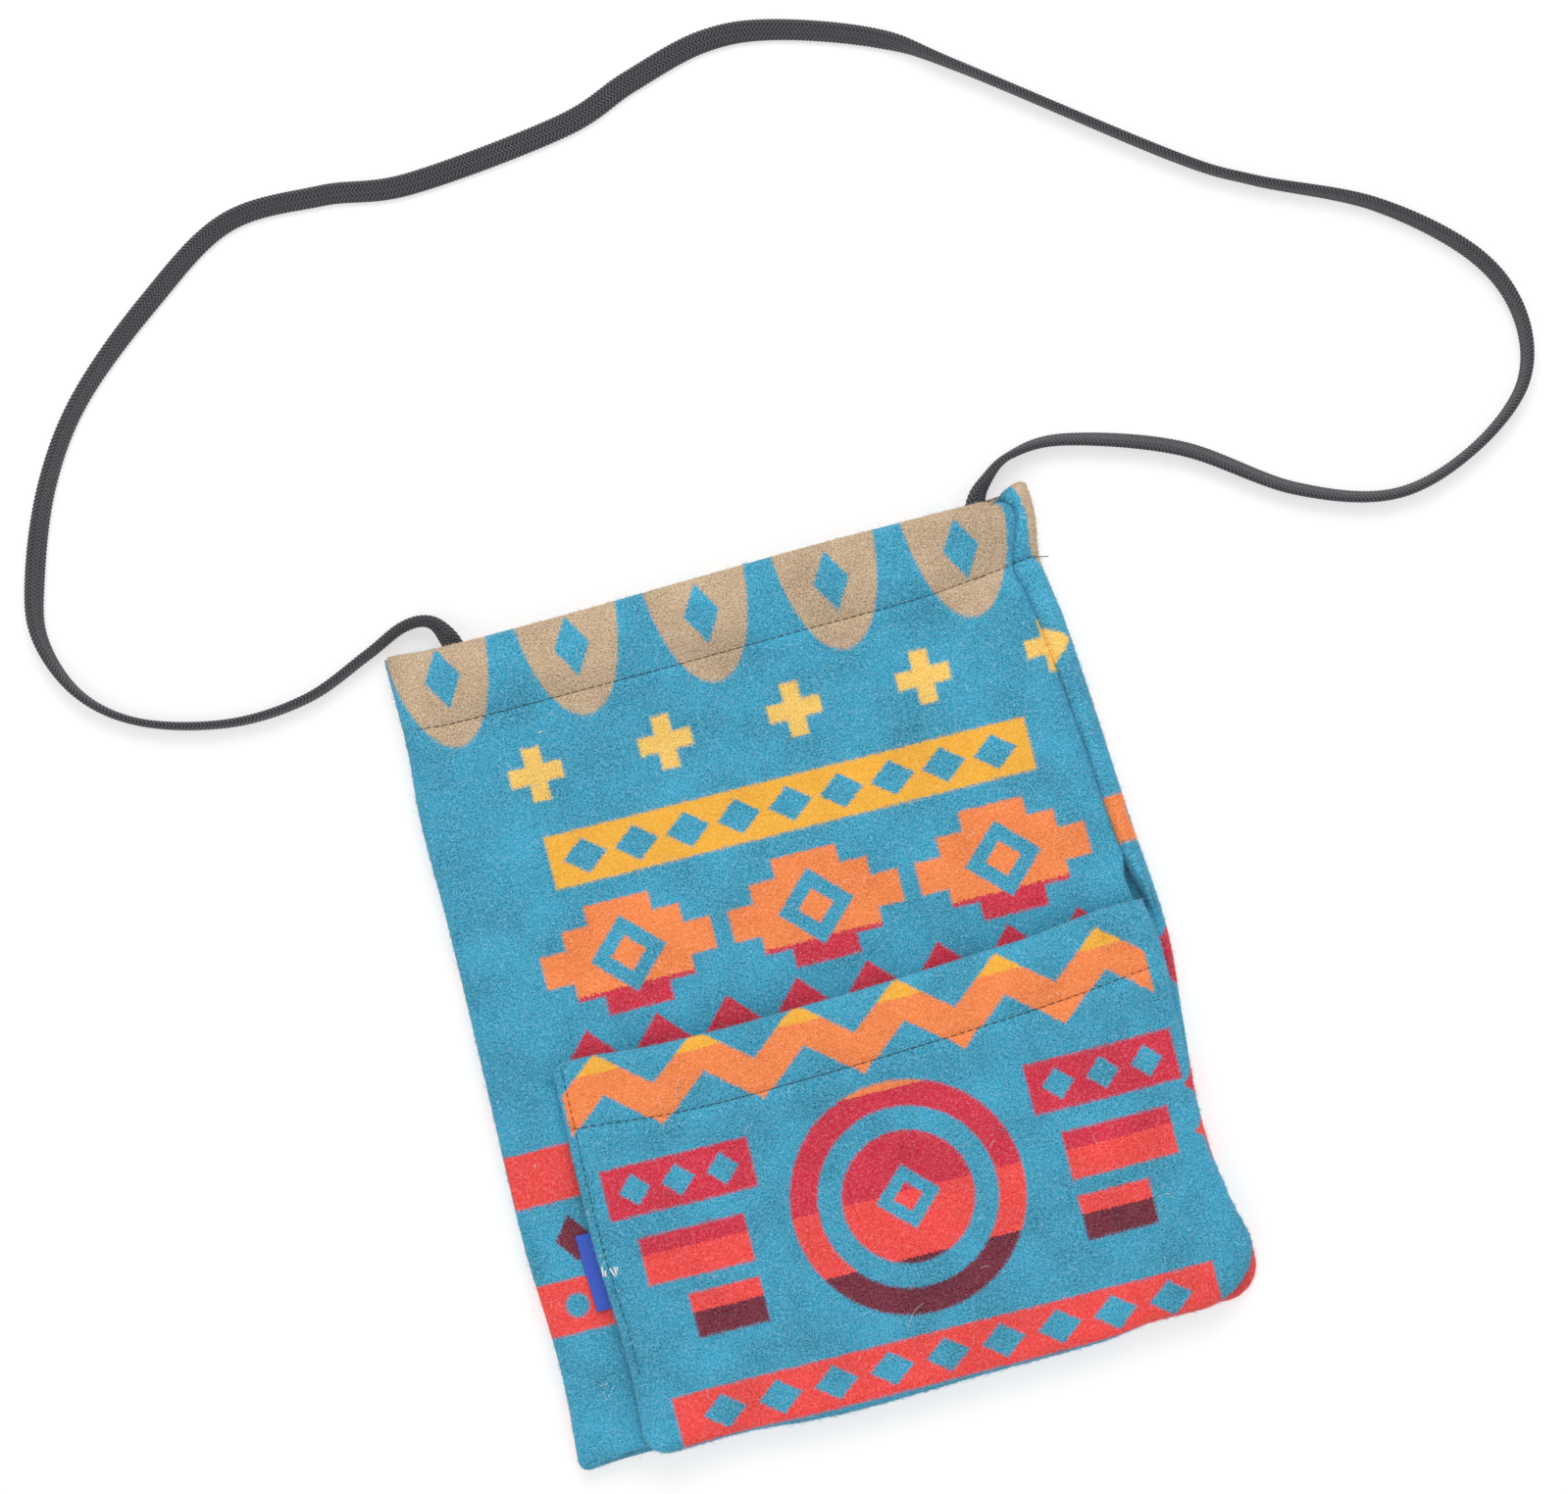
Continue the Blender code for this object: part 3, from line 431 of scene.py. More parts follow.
def near_edge(x, y, reach):
    """1 at the right and bottom edges, fading to 0 over the reach."""
    distance = min(BAG_WIDTH / 2 - x, y + BAG_HEIGHT / 2)
    return 1 - smooth((distance - FIRST_INSIDE) / reach)


def stitch_dip(distance):
    """How deep a line of stitches pulls the wool in, at a distance from it."""
    return STITCH_DIP * max(1 - abs(distance) / STITCH_DIP_REACH, 0.0)


def groove(distance, place):
    """How much deeper the wool is drawn in right at a line of stitches, most of all at each needle hole."""
    if abs(distance) > 3 * GROOVE_WIDTH:
        return 0.0
    hole = 0.5 + 0.5 * math.cos(2 * math.pi * place / bpy.context.scene.tote_sizes.stitch)
    return GROOVE * mix(GROOVE_BETWEEN, 1, hole) * math.exp(-((distance / GROOVE_WIDTH) ** 2))


def soft_ground(x, y, seed):
    """How the cloth rises and falls as it lies: long soft swells with small lumps on them."""
    swell = noise.noise(Vector((x / UNDULATION_LENGTH, y / UNDULATION_LENGTH, seed)))
    lump = noise.noise(Vector((x / LUMP_LENGTH, y / LUMP_LENGTH, seed + LUMP_SEED)))
    return UNDULATION * swell + LUMPS * lump


def front_height(x, y):
    """Height of the middle of the front panel."""
    half = BAG_WIDTH / 2
    right = half - strip(y)
    across = 1 - min(abs(x) / (right if x > 0 else half), 1.0) ** FACE_SQUARENESS
    from_bottom = smooth((y + BAG_HEIGHT / 2) / BODY_RISE_LENGTH)
    at_mouth = smooth((y - BAG_HEIGHT / 2 + MOUTH_RISE_LENGTH) / MOUTH_RISE_LENGTH)
    rise = across * (BODY_RISE * from_bottom * (1 - at_mouth) + MOUTH_RISE * at_mouth)
    above_line = y - hem_line(x)
    rise -= stitch_dip(above_line) + groove(above_line, x)
    puff = smooth(above_line / HEM_PUFF_REACH) * smooth((BAG_HEIGHT / 2 - y) / HEM_PUFF_REACH)
    rise += HEM_PUFF * puff * across
    to_right = smooth(0.5 + x / BAG_WIDTH)
    drop = smooth(-above_line / HEM_STEP_REACH)
    drop *= 1 - smooth((-above_line - HEM_STEP_HOLDS) / HEM_STEP_RETURN)
    rise -= HEM_STEP * (HEM_STEP_LEFT + HEM_STEP_GROWS * to_right) * drop * across
    over_pocket_edge = beside_pocket(x) * below_pocket_top(y) * near_edge(x, y, POCKET_EDGE_REACH)
    ground = soft_ground(x, y, FRONT_SEED) * across * from_bottom
    return FRONT_HEIGHT + rise + LAYER * over_pocket_edge + ground


def strip_pinch(x, y):
    """1 on the strip right at the front hem's stitches, fading to 0 away from them."""
    return math.exp(-(((y - hem_line(x)) / STRIP_PINCH_REACH) ** 2)) * strip_raised(y)


def strip_height(x, y):
    """Height of the middle of the strip's crest, before its crown."""
    x = max(x, BAG_WIDTH / 2 - strip(y))
    return front_height(x, y) - STRIP_PINCH * strip_pinch(x, y)


def face_height(x, y):
    """Height of the middle of the wool that shows on the face, of the front or of the strip."""
    return strip_height(x, y) if x > BAG_WIDTH / 2 - strip(y) else front_height(x, y)


def corner_widening(y):
    """How much wider the strip is beside the front's rounded rim corner."""
    down = min(max((BAG_HEIGHT / 2 - y) / RIM_CORNER_RADIUS, 0.2), 1.0)
    return RIM_CORNER_RADIUS * (1 - math.sqrt(1 - (1 - down) ** 2))


def pocket_height(x, y):
    """Height of the middle of the pocket."""
    under_edge = LABEL_CLOTH * 2 + LABEL_FOLD_RADIUS * 2 + 2 * LABEL_CLEARANCE
    left_lift = WOOL + under_edge + 2 * HEM_RADIUS - LAYER
    left = 1 - smooth((x - POCKET_LEFT - POCKET_LEFT_FLAT) / POCKET_LEFT_REACH)
    from_left = smooth((x - POCKET_LEFT - POCKET_SWELLS_FROM) / POCKET_SWELL)
    from_right = smooth((BAG_WIDTH / 2 - x - strip(y) - POCKET_SWELLS_FROM) / POCKET_SWELL)
    from_bottom = smooth((y + BAG_HEIGHT / 2 - POCKET_SWELLS_FROM) / POCKET_BOTTOM_SWELL)
    swollen = from_left * from_right * from_bottom
    rim = pocket_top(x)
    from_top = smooth((rim - y) / POCKET_HEM_DEPTH)
    below_hem = smooth((rim - y - POCKET_HEM_DEPTH) / POCKET_HEM_REACH)
    hem_lift = (2 * HEM_RADIUS + STITCH_DIP) * (1 - below_hem)
    lift = max(left_lift * left, hem_lift) * (1 - swollen)
    lift += swollen * (POCKET_RISE + hem_lift + POCKET_MOUTH_RISE * (1 - from_top))
    above_line = y - rim + POCKET_STITCH_LINE
    lift -= stitch_dip(above_line) + groove(above_line, x)
    lift -= SIDE_GROOVE * groove(x - POCKET_LEFT - POCKET_SIDE_STITCH - WOOL / 2, y)
    return front_height(x, y) + LAYER + lift + soft_ground(x, y, POCKET_SEED) * swollen


def moved_in(x, last, shift):
    """A column moved in with the right seam: fully at the last column, not at all left of the middle."""
    return x - shift * max(x / last, 0.0)


def rounded(dx, dy, radius):
    """Distances in from two edges, with the corner between them bent to an arc."""
    if dx >= radius or dy >= radius:
        return dx, dy
    p, q = radius - dx, radius - dy
    reach = max(p, q)
    angle = math.pi / 4 * min(p, q) / reach
    far, near = reach * math.cos(angle), reach * math.sin(angle)
    return (radius - far, radius - near) if p >= q else (radius - near, radius - far)


def finished(obj):
    """The object with its modifiers, or its curve, made into its mesh."""
    evaluated = obj.evaluated_get(bpy.context.evaluated_depsgraph_get())
    mesh = bpy.data.meshes.new_from_object(evaluated)
    name = obj.name
    bpy.data.objects.remove(obj)
    mesh.name = name
    made = bpy.data.objects.new(name, mesh)
    bpy.context.scene.collection.objects.link(made)
    return made


def bent_grid(columns, rows, point):
    """A bmesh grid and each vertex's (column, row). The function gives a vertex its place and its UV."""
    bm = bmesh.new()
    bmesh.ops.create_grid(bm, x_segments=columns, y_segments=rows, size=0.5)
    uv = bm.loops.layers.uv.new(UV_NAME)
    spots = {}
    places = {}
    for vert in bm.verts:
        spots[vert] = (round((vert.co.x + 0.5) * columns), round((vert.co.y + 0.5) * rows))
        vert.co, places[vert] = point(*spots[vert])
    for face in bm.faces:
        for loop in face.loops:
            loop[uv].uv = places[loop.vert]
    return bm, spots


def add_object(name, bm):
    """An object with the mesh of a bmesh, shaded smooth."""
    mesh = bpy.data.meshes.new(name)
    bm.to_mesh(mesh)
    bm.free()
    mesh.shade_smooth()
    obj = bpy.data.objects.new(name, mesh)
    bpy.context.scene.collection.objects.link(obj)
    return obj


def dress(obj, made, slot, *nodes):
    """Gives a piece its material and its body, and hides the model's pieces for the nodes that it stands for.
    The slot is not used.
    """
    obj.data.materials.clear()
    obj.data.materials.append(made)
    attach(obj, "root")
    if nodes:
        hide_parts(*nodes)
    return obj


class Panel:
    """A grid of stations: rings along the three seamed edges, an inside, and the rows of a hem.

    Ring 0 is the cut end of the allowance inside the bag, and the last rings lie on the panel's own face.
    Each vertex has its place, and its place in the cloth before that was folded, which carries the pattern.
    """

    outward = 1
    rim_corner_radius = 0

    def __init__(self, name, left, top, radii, hem):
        sizes = bpy.context.scene.tote_sizes
        self.name = name
        self.left = left
        self.top = top
        self.radii = radii
        self.hem_depth, self.stitch_line = hem
        self.rings = self.make_rings()
        width = BAG_WIDTH / 2 - left - 2 * FIRST_INSIDE
        steps = max(round(width / (sizes.stitch / 2)), 8)
        self.inside_x = spread(left + FIRST_INSIDE, BAG_WIDTH / 2 - FIRST_INSIDE, steps + 1)
        self.hem_rows = self.make_hem_rows(sizes.cell)
        low = -BAG_HEIGHT / 2 + FIRST_INSIDE
        high = min(top(x) for x in self.inside_x) - self.hem_rows[0][0] - sizes.cell
        self.inside_y = spread(low, high, max(round((high - low) / sizes.cell), 4) + 1)
        self.columns = 2 * len(self.rings) + len(self.inside_x)
        self.rows = len(self.rings) + len(self.inside_y) + len(self.hem_rows)

    def make_rings(self):
        """The stations in from each seamed edge: (kind, how far along it)."""
        folds = [("fold", angle) for angle in spread(-90, 90, FOLD_STEPS + 1)]
        faces = [("face", n) for n in range(1, FACE_STEPS + 1)]
        return [("cut", 1.0), ("cut", 0.5)] + folds + faces

    def make_hem_rows(self, cell):
        """(distance below the rim, the same in flat cloth, 0 on the face to 1 on the turned-in layer)."""
        rows = []
        for n in HEM_FINE_ROWS:
            down = self.stitch_line + n * HEM_FINE_STEP
            rows.append((down, down, 0))
        low = rows[-1][0] - cell
        edge = outer = HEM_RADIUS + WOOL / 2
        high = edge + cell
        for down in spread(low, high, round((low - high) / cell) + 1):
            rows.append((down, down, 0))
        for angle in spread(90, -90, FOLD_STEPS + 1):
            turn = math.radians(angle)
            down = HEM_RADIUS * (1 - math.cos(turn)) + WOOL / 2
            rows.append((down, edge - outer * (math.pi / 2 - turn), 0.5 - math.sin(turn) / 2))
        for down in spread(edge, self.hem_depth, HEM_INSIDE_ROWS)[1:]:
            rows.append((down, 2 * edge - outer * math.pi - down, 1))
        return rows

    def allowance(self, side, place):
        """How far the seam allowance reaches in, trimmed inside the hem."""
        if side == "bottom":
            return SEAM_ALLOWANCE
        in_hem = smooth((place - self.top(0) + self.hem_depth + TRIM_START) / TRIM_LENGTH)
        return mix(SEAM_ALLOWANCE, TRIMMED_ALLOWANCE, in_hem)

    def point(self, i, j):
        """The place of a grid vertex, and its place in the flat cloth."""
        rings = len(self.rings)
        low_y = -BAG_HEIGHT / 2
        right_side = i >= self.columns / 2
        side = "right" if right_side else "left"
        ring_i = self.columns - 1 - i if right_side else i
        inside = ring_i >= rings
        hem_row = j - rings - len(self.inside_y)
        layer = 0
        if j < rings and not inside:
            return self.corner_point(side, ring_i, j)
        if hem_row >= 0:
            down, flat_down, layer = self.hem_rows[hem_row]
            near_x = self.inside_x[i - rings] if inside else self.side_x(side, FIRST_INSIDE)
            y = self.top(near_x) - down
            flat_y = self.top(near_x) - flat_down
        elif j >= rings:
            y = flat_y = self.inside_y[j - rings]
        else:
            x = self.inside_x[i - rings]
            depth, flat, turn = self.ring(self.rings[j], "bottom", x, self.allowance("bottom", x))
            in_x = self.side_in(side, x)
            return self.finish(side, (in_x, depth), (in_x, flat), turn, 0.0, 0)
        if inside:
            x = moved_in(self.inside_x[i - rings], self.inside_x[-1], self.seam_shift(y))
            flat_x = self.side_in(side, x)
            in_x = flat_x
            if layer > 0 and ring_i == rings:
                in_x = max(in_x, self.hem_side_end(side, y) + FACE_STEP * FACE_STEPS)
            return self.finish(side, (in_x, y - low_y), (flat_x, flat_y - low_y), self.face_turn, 1.0, layer)
        in_x, flat_x, turn = self.ring(self.rings[ring_i], side, y, self.allowance(side, y))
        turned_in = ring_i - self.first_hem_ring(side)
        if turned_in < 0:
            layer = 0
        if layer > 0:
            in_x = max(in_x, self.hem_side_end(side, y) + turned_in * HEM_RING_STEP * layer)
        if hem_row >= 0 and side == "right" and self.rim_corner_radius:
            rim = self.top(0)
            across, under = rounded(in_x - strip(rim), rim - y, self.rim_corner_radius)
            in_x, y = across + strip(rim), rim - under
        return self.finish(side, (in_x, y - low_y), (flat_x, flat_y - low_y), turn, 1.0, layer)

    def corner_point(self, side, ring_i, ring_j):
        """A vertex near a lower corner, where the side's rings turn into the bottom's."""
        low_y = -BAG_HEIGHT / 2
        k, m = min(ring_i, ring_j), max(ring_i, ring_j)
        station = self.rings[k]
        blend = (m - k) / (len(self.rings) - k)
        flank = side if ring_i < ring_j else "bottom"
        start, flat_start, turn = self.ring(station, side, low_y, CORNER_ALLOWANCE)
        place = self.side_x(side, FIRST_INSIDE) if flank == "bottom" else low_y + FIRST_INSIDE
        full, flat_full, _ = self.ring(station, flank, place, SEAM_ALLOWANCE)
        depth, flat = mix(start, full, blend), mix(flat_start, flat_full, blend)
        far, flat_far = mix(start, FIRST_INSIDE, blend), mix(flat_start, FIRST_INSIDE, blend)
        if ring_i < ring_j:
            return self.finish(side, (depth, far), (flat, flat_far), turn, 0.5 + blend / 2, 0)
        return self.finish(side, (far, depth), (flat_far, flat), turn, 0.5 - blend / 2, 0)

    def side_x(self, side, depth):
        """The place across the bag at a distance in from a side."""
        return self.left + depth if side == "left" else BAG_WIDTH / 2 - depth

    def side_in(self, side, x):
        """The distance in from a side of a place across the bag."""
        return x - self.left if side == "left" else BAG_WIDTH / 2 - x

    def hem_side_end(self, side, y):
        """How far in from the side the turned-in layer of the hem begins."""
        return self.edge(side, y) + FOLD_RADIUS + HEM_SIDE_INSET

    def first_hem_ring(self, side):
        """The first ring that the turned-in layer of the hem has."""
        return self.rings.index(("fold", 90.0))

    def rim_ring(self):
        """The first ring that the rim has."""
        return next(k for k, (kind, angle) in enumerate(self.rings) if kind == "fold" and angle >= 0)

    def finish(self, side, place, flat, turn, side_weight, layer):
        """A vertex's final place, and its place in the cloth, from its distances in from side and bottom."""
        radius = self.radii[0] if side == "left" else self.radii[1]
        in_x, in_y = rounded(*place, radius)
        x = self.side_x(side, in_x)
        y = in_y - BAG_HEIGHT / 2
        z = self.height(x, y, turn, side, side_weight)
        z += self.hem_side * layer * 2 * HEM_RADIUS
        flat_x, flat_y = rounded(*flat, radius)
        cloth = settled(self.side_x(side, flat_x), flat_y - BAG_HEIGHT / 2, 0)
        rise = self.peak(x, y)
        return settled(x + BACK_PEAK[0] * rise, y + BACK_PEAK[1] * rise, z), cloth.xy

    def peak(self, x, y):
        """How far a place belongs to the corner that is drawn up at the right end of the rim: 0 to 1."""
        return 0.0

    def keep(self, i, j):
        """Whether the cell from column i and row j is cloth: hems and allowances are cut away at corners."""
        on_left = i < self.columns / 2
        ring = i if on_left else self.columns - 2 - i
        hem_row = j - len(self.rings) - len(self.inside_y)
        if hem_row >= 0:
            down, _, layer = self.hem_rows[hem_row]
            if layer >= 0.5:
                return ring >= self.first_hem_ring("left" if on_left else "right")
            if down < HEM_RADIUS + WOOL:
                return ring >= self.rim_ring()
        if self.clipped_left_corner and on_left and ring < len(self.rings) and j < len(self.rings):
            return min(ring, j) >= self.rim_ring()
        return True

    def outside(self, i, j):
        """How thickly nap stands on the cell from column i and row j: 0 where it is hidden, most at edges."""
        ring = i if i < self.columns / 2 else self.columns - 2 - i
        nearest = min(ring, j)
        if nearest < len(self.rings) and self.rings[nearest][0] == "cut":
            return 0
        hem_row = j - len(self.rings) - len(self.inside_y)
        if hem_row >= 0 and self.hem_rows[hem_row][2] > 0:
            return EDGE_NAP if self.hem_rows[hem_row][2] < 0.7 else 0
        return EDGE_NAP if nearest < len(self.rings) and self.rings[nearest][0] == "fold" else 1

    def build(self, made, slot, node):
        """The panel's sheet of wool, in its place. Its middle is kept in roots for the nap."""
        bm, spots = bent_grid(self.columns - 1, self.rows - 1, self.point)
        cut = []
        shows = bm.faces.layers.int.new("shows")
        for face in bm.faces:
            i = min(spots[vert][0] for vert in face.verts)
            j = min(spots[vert][1] for vert in face.verts)
            if not self.keep(i, j):
                cut.append(face)
            face[shows] = self.outside(i, j)
        bmesh.ops.delete(bm, geom=cut, context="FACES")
        obj = add_object(self.name, bm)
        self.roots = surface_of(obj.data, self.outward)
        shell = obj.modifiers.new("Wool", "SOLIDIFY")
        shell.thickness = WOOL
        shell.offset = 0
        obj = finished(obj)
        return dress(obj, made, slot, node)


class FrontPanel(Panel):
    """The front, rolled under at its seamed edges and turned in at the mouth."""

    face_turn = 1.0
    hem_side = -1
    clipped_left_corner = False
    rim_corner_radius = RIM_CORNER_RADIUS

    def seam_shift(self, y):
        """How far the right seam lies in from the bag's edge."""
        return strip(y)

    def edge(self, side, place):
        """Distance in from the outline of the middle of the rolled edge."""
        if side == "left":
            return WOOL / 2
        if side == "right":
            pressed = strip(place) - SEAM_PRESS * strip_raised(place)
            return WOOL / 2 + pressed + (LAYER + POCKET_EASE) * pocket_caught(side, place)
        return WOOL / 2 + (LAYER + POCKET_EASE) * pocket_caught(side, place)

    def fold_radius(self, side):
        """Radius of the rolled edge's middle."""
        return FOLD_RADIUS

    def ring(self, station, side, place, allowance):
        """(distance in, the same in flat cloth, how far up the roll: -1 under to 1 on the face)."""
        kind, value = station
        edge = self.edge(side, place)
        radius = self.fold_radius(side)
        outer = radius + WOOL / 2
        if kind == "cut":
            flat = edge + radius - math.pi * outer - allowance * value
            return edge + radius + allowance * value, flat, -1.0
        if kind == "face":
            depth = edge + radius + value * FACE_STEP
            return depth, depth, 1.0
        angle = math.radians(value)
        flat = edge + radius - outer * (math.pi / 2 - angle)
        return edge + radius * (1 - math.cos(angle)), flat, math.sin(angle)

    def height(self, x, y, turn, side, side_weight):
        """Height of the sheet's middle, on the face or rolled under it."""
        top = front_height(x, y)
        at_side = pocket_caught(side, y)
        at_bottom = beside_pocket(x)
        under = FRONT_FLAP_HEIGHT + LAYER * mix(at_bottom, at_side, side_weight)
        return mix(under, top, (turn + 1) / 2)


class Pocket(FrontPanel):
    """The patch pocket, rolled under all round and turned in at its rim."""

    clipped_left_corner = True
    rim_corner_radius = 0

    def edge(self, side, place):
        if side == "right":
            return WOOL / 2 + strip(place)
        return WOOL / 2

    def fold_radius(self, side):
        return HEM_RADIUS if side == "left" else POCKET_SEAM_RADIUS

    def height(self, x, y, turn, side, side_weight):
        top = pocket_height(x, y)
        under = POCKET_FLAP_HEIGHT
        if side == "left":
            under = mix(under, top - 2 * HEM_RADIUS, side_weight)
        return mix(under, top, (turn + 1) / 2)


class BackPanel(Panel):
    """The back, rolled up round the front's edges, with a strip of it beside the right seam."""

    outward = -1
    face_turn = ("roll", -1.0)
    hem_side = 1
    clipped_left_corner = False

    def make_rings(self):
        """From the cut end: tucked under the front, over the strip's crest, round the roll, to the face."""
        tucks = [("tuck", t) for t in spread(0, 1, 5)]
        crests = [("crest", t) for t in (0.25, 0.5, 0.75)]
        folds = [("fold", angle) for angle in spread(90, -90, FOLD_STEPS + 1)]
        faces = [("face", n) for n in range(1, FACE_STEPS + 1)]
        return [("cut", 1.0), ("cut", 0.5)] + tucks + crests + folds + faces

    def first_hem_ring(self, side):
        return len(self.rings) if side == "right" else self.rings.index(("fold", -90.0))

    def rim_ring(self):
        return 0

    def seam_shift(self, y):
        return strip_raised(y) * strip(y)

    def hem_side_end(self, side, y):
        if side == "left":
            return super().hem_side_end(side, y)
        return strip(y) + FOLD_RADIUS + TRIMMED_ALLOWANCE - 3 * FACE_STEP + WOOL

    def edge(self, side, place):
        return WOOL / 2

    def peak(self, x, y):
        to_right = smooth(1 - (BAG_WIDTH / 2 - x) / BACK_PEAK_REACH)
        return to_right * smooth(1 - (BAG_HEIGHT / 2 - y) / BACK_PEAK_REACH)

    def ring(self, station, side, place, allowance):
        """(distance in, the same in flat cloth, (which stretch, how far along it))."""
        kind, value = station
        raised = strip_raised(place) if side == "right" else 0.0
        inner = strip(place) + WOOL / 2 - LAYER + corner_widening(place) if side == "right" else 0.0
        edge = self.edge(side, place)
        radius = mix(FOLD_RADIUS, STRIP_EDGE_RADIUS, raised)
        outer = radius + WOOL / 2
        if kind == "face":
            depth = edge + radius + value * FACE_STEP
            return depth, depth, ("roll", -1.0)
        if kind == "fold":
            angle = math.radians(value)
            flat = edge + radius - outer * (math.pi / 2 + angle)
            return edge + radius * (1 - math.cos(angle)), flat, ("roll", math.sin(angle))
        turned = edge + radius - outer * math.pi
        tuck_end = mix(edge + FOLD_RADIUS + TUCK_STEP, inner - FOLD_RADIUS, raised)
        tuck_start = mix(edge + FOLD_RADIUS + 3 * TUCK_STEP, inner + FOLD_RADIUS, raised)
        crest_width = tuck_end - edge - radius
        if kind == "crest":
            return mix(tuck_end, edge + radius, value), turned - crest_width * (1 - value), ("crest", value)
        turned -= crest_width
        if kind == "tuck":
            slope = (tuck_start - tuck_end) * (1 - value)
            return mix(tuck_start, tuck_end, value), turned - slope, ("tuck", 1 - smooth(value))
        cut_end = edge + FOLD_RADIUS + allowance + mix(0.0, max(inner, 0.0), raised)
        depth = mix(tuck_start, cut_end, value)
        return depth, turned - (depth - tuck_end), ("tuck", 1.0)

    def height(self, x, y, turn, side, side_weight):
        raised = strip_raised(y) if side == "right" else 0.0
        crest = mix(BACK_FLAP_HEIGHT, strip_height(x, y), raised)
        kind, amount = turn
        if kind == "crest":
            return crest + STRIP_CROWN * raised * math.sin(math.pi * amount) * (1 - strip_pinch(x, y))
        if kind == "tuck":
            return mix(crest, BACK_FLAP_HEIGHT, amount)
        return mix(BACK_HEIGHT, crest, (amount + 1) / 2)


def bag_top(x):
    """Height up the bag of its rim, before the outline wanders."""
    return BAG_HEIGHT / 2


def read_all(items, name, width, kind=float):
    """One value of all of a mesh's items as a flat array, so many numbers for each item."""
    values = np.empty(len(items) * width, dtype=kind)
    items.foreach_get(name, values)
    return values


def surface_of(mesh, outward):
    """The showing triangles of a panel's middle.

    Gives their corners, outward directions, places in the cloth and shares of the nap, and whether each is on
    an edge.
    """
    mesh.calc_loop_triangles()
    places = read_all(mesh.vertices, "co", 3).reshape(-1, 3)
    directions = read_all(mesh.vertices, "normal", 3).reshape(-1, 3)
    cloth = read_all(mesh.uv_layers[UV_NAME].data, "uv", 2).reshape(-1, 2)
    shows = read_all(mesh.attributes["shows"].data, "value", 1, np.int32)
    corners = np.array([t.vertices[:] for t in mesh.loop_triangles])
    loops = np.array([t.loops[:] for t in mesh.loop_triangles])
    areas = np.array([t.area for t in mesh.loop_triangles])
    faces = np.array([t.polygon_index for t in mesh.loop_triangles])
    shares = areas * shows[faces]
    kept = shares > 0
    places = places[corners[kept]]
    directions = directions[corners[kept]] * outward
    return places, directions, cloth[loops[kept]], shares[kept], shows[faces[kept]] > 1


def picked(surface, count, rng):
    """Random spots on a panel's outer side: place, outward way, place in the cloth, whether on an edge."""
    places, directions, cloth, shares, at_edge = surface
    faces = rng.choice(len(shares), size=count, p=shares / shares.sum())
    weights = rng.dirichlet((1.0, 1.0, 1.0), size=count)[:, :, None]
    out = (directions[faces] * weights).sum(axis=1)
    out /= np.linalg.norm(out, axis=1)[:, None]
    spots = (places[faces] * weights).sum(axis=1) + out * WOOL / 2
    return spots, out, (cloth[faces] * weights).sum(axis=1), at_edge[faces]


# A loose fibre's points as (share of its length along it, how far up it goes), from its root
FIBRE_SHAPE = ((-0.35, -0.4), (-0.05, 0.35), (0.25, 0.8), (0.55, 1.0))
# How unlike the fibres' lengths are, how far they stand up and sway beside their lengths, and how often
FIBRE_SPREAD = 0.35
FIBRE_STANDS = 0.26
FIBRE_CURL = 0.22
FIBRE_WAVES = 7
FIBRE_LIFT = 0.14 * MM
# The length of a fibre on a folded edge beside one on a face
EDGE_FIBRE_SHARE = 0.5


def lay_fibres(name, surface, count, seed, covered=None):
    """Loose wool fibres on a panel: most lie nearly flat and a few stand off it."""
    sizes = bpy.context.scene.tote_sizes
    rng = np.random.default_rng(seed)
    spots, out, cloth, at_edge = picked(surface, count, rng)
    if covered is not None:
        kept = np.array([not covered(*spot) for spot in spots])
        spots, out, cloth, at_edge = spots[kept], out[kept], cloth[kept], at_edge[kept]
    count = len(spots)
    aside = rng.normal(size=(count, 3))
    aside -= out * (aside * out).sum(axis=1)[:, None]
    aside /= np.linalg.norm(aside, axis=1)[:, None]
    across = np.cross(out, aside)
    length = sizes.fibre_length * rng.lognormal(sigma=FIBRE_SPREAD, size=(count, 1))
    length *= np.where(at_edge, EDGE_FIBRE_SHARE, 1)[:, None]
    stands = np.abs(rng.normal(scale=FIBRE_STANDS, size=(count, 1)))
    curl = rng.normal(scale=FIBRE_CURL, size=(count, 1))
    turn = rng.uniform(0, 2 * math.pi, size=(count, 1))
    points = []
    for along, raised in FIBRE_SHAPE:
        sway = curl * (np.sin(turn + FIBRE_WAVES * along) - np.sin(turn)) * length
        lift = max(raised, 0) * stands * length + raised * FIBRE_LIFT
        points.append(spots + aside * along * length + across * sway + out * lift)
    lines = np.stack(points, axis=1)
    lines[:, :, 2] = np.maximum(lines[:, :, 2], FLOOR_CLEARANCE)
    return fibre_piece(name, lines, cloth, sizes.fibre)


def through(name, lines, diameter, sides, pointed=False):
    """A mesh of closed threads, one through each line of points."""
    curve = bpy.data.curves.new(name, "CURVE")
    curve.dimensions = "3D"
    curve.bevel_depth = diameter / 2
    curve.bevel_resolution = sides
    curve.use_fill_caps = not pointed
    for line in lines:
        spline = curve.splines.new("POLY")
        spline.points.add(len(line) - 1)
        for spot, point in zip(spline.points, line):
            spot.co = (*point, 1.0)
        if pointed:
            spline.points[0].radius = spline.points[-1].radius = 0.0
    obj = bpy.data.objects.new(name, curve)
    bpy.context.scene.collection.objects.link(obj)
    return finished(obj)


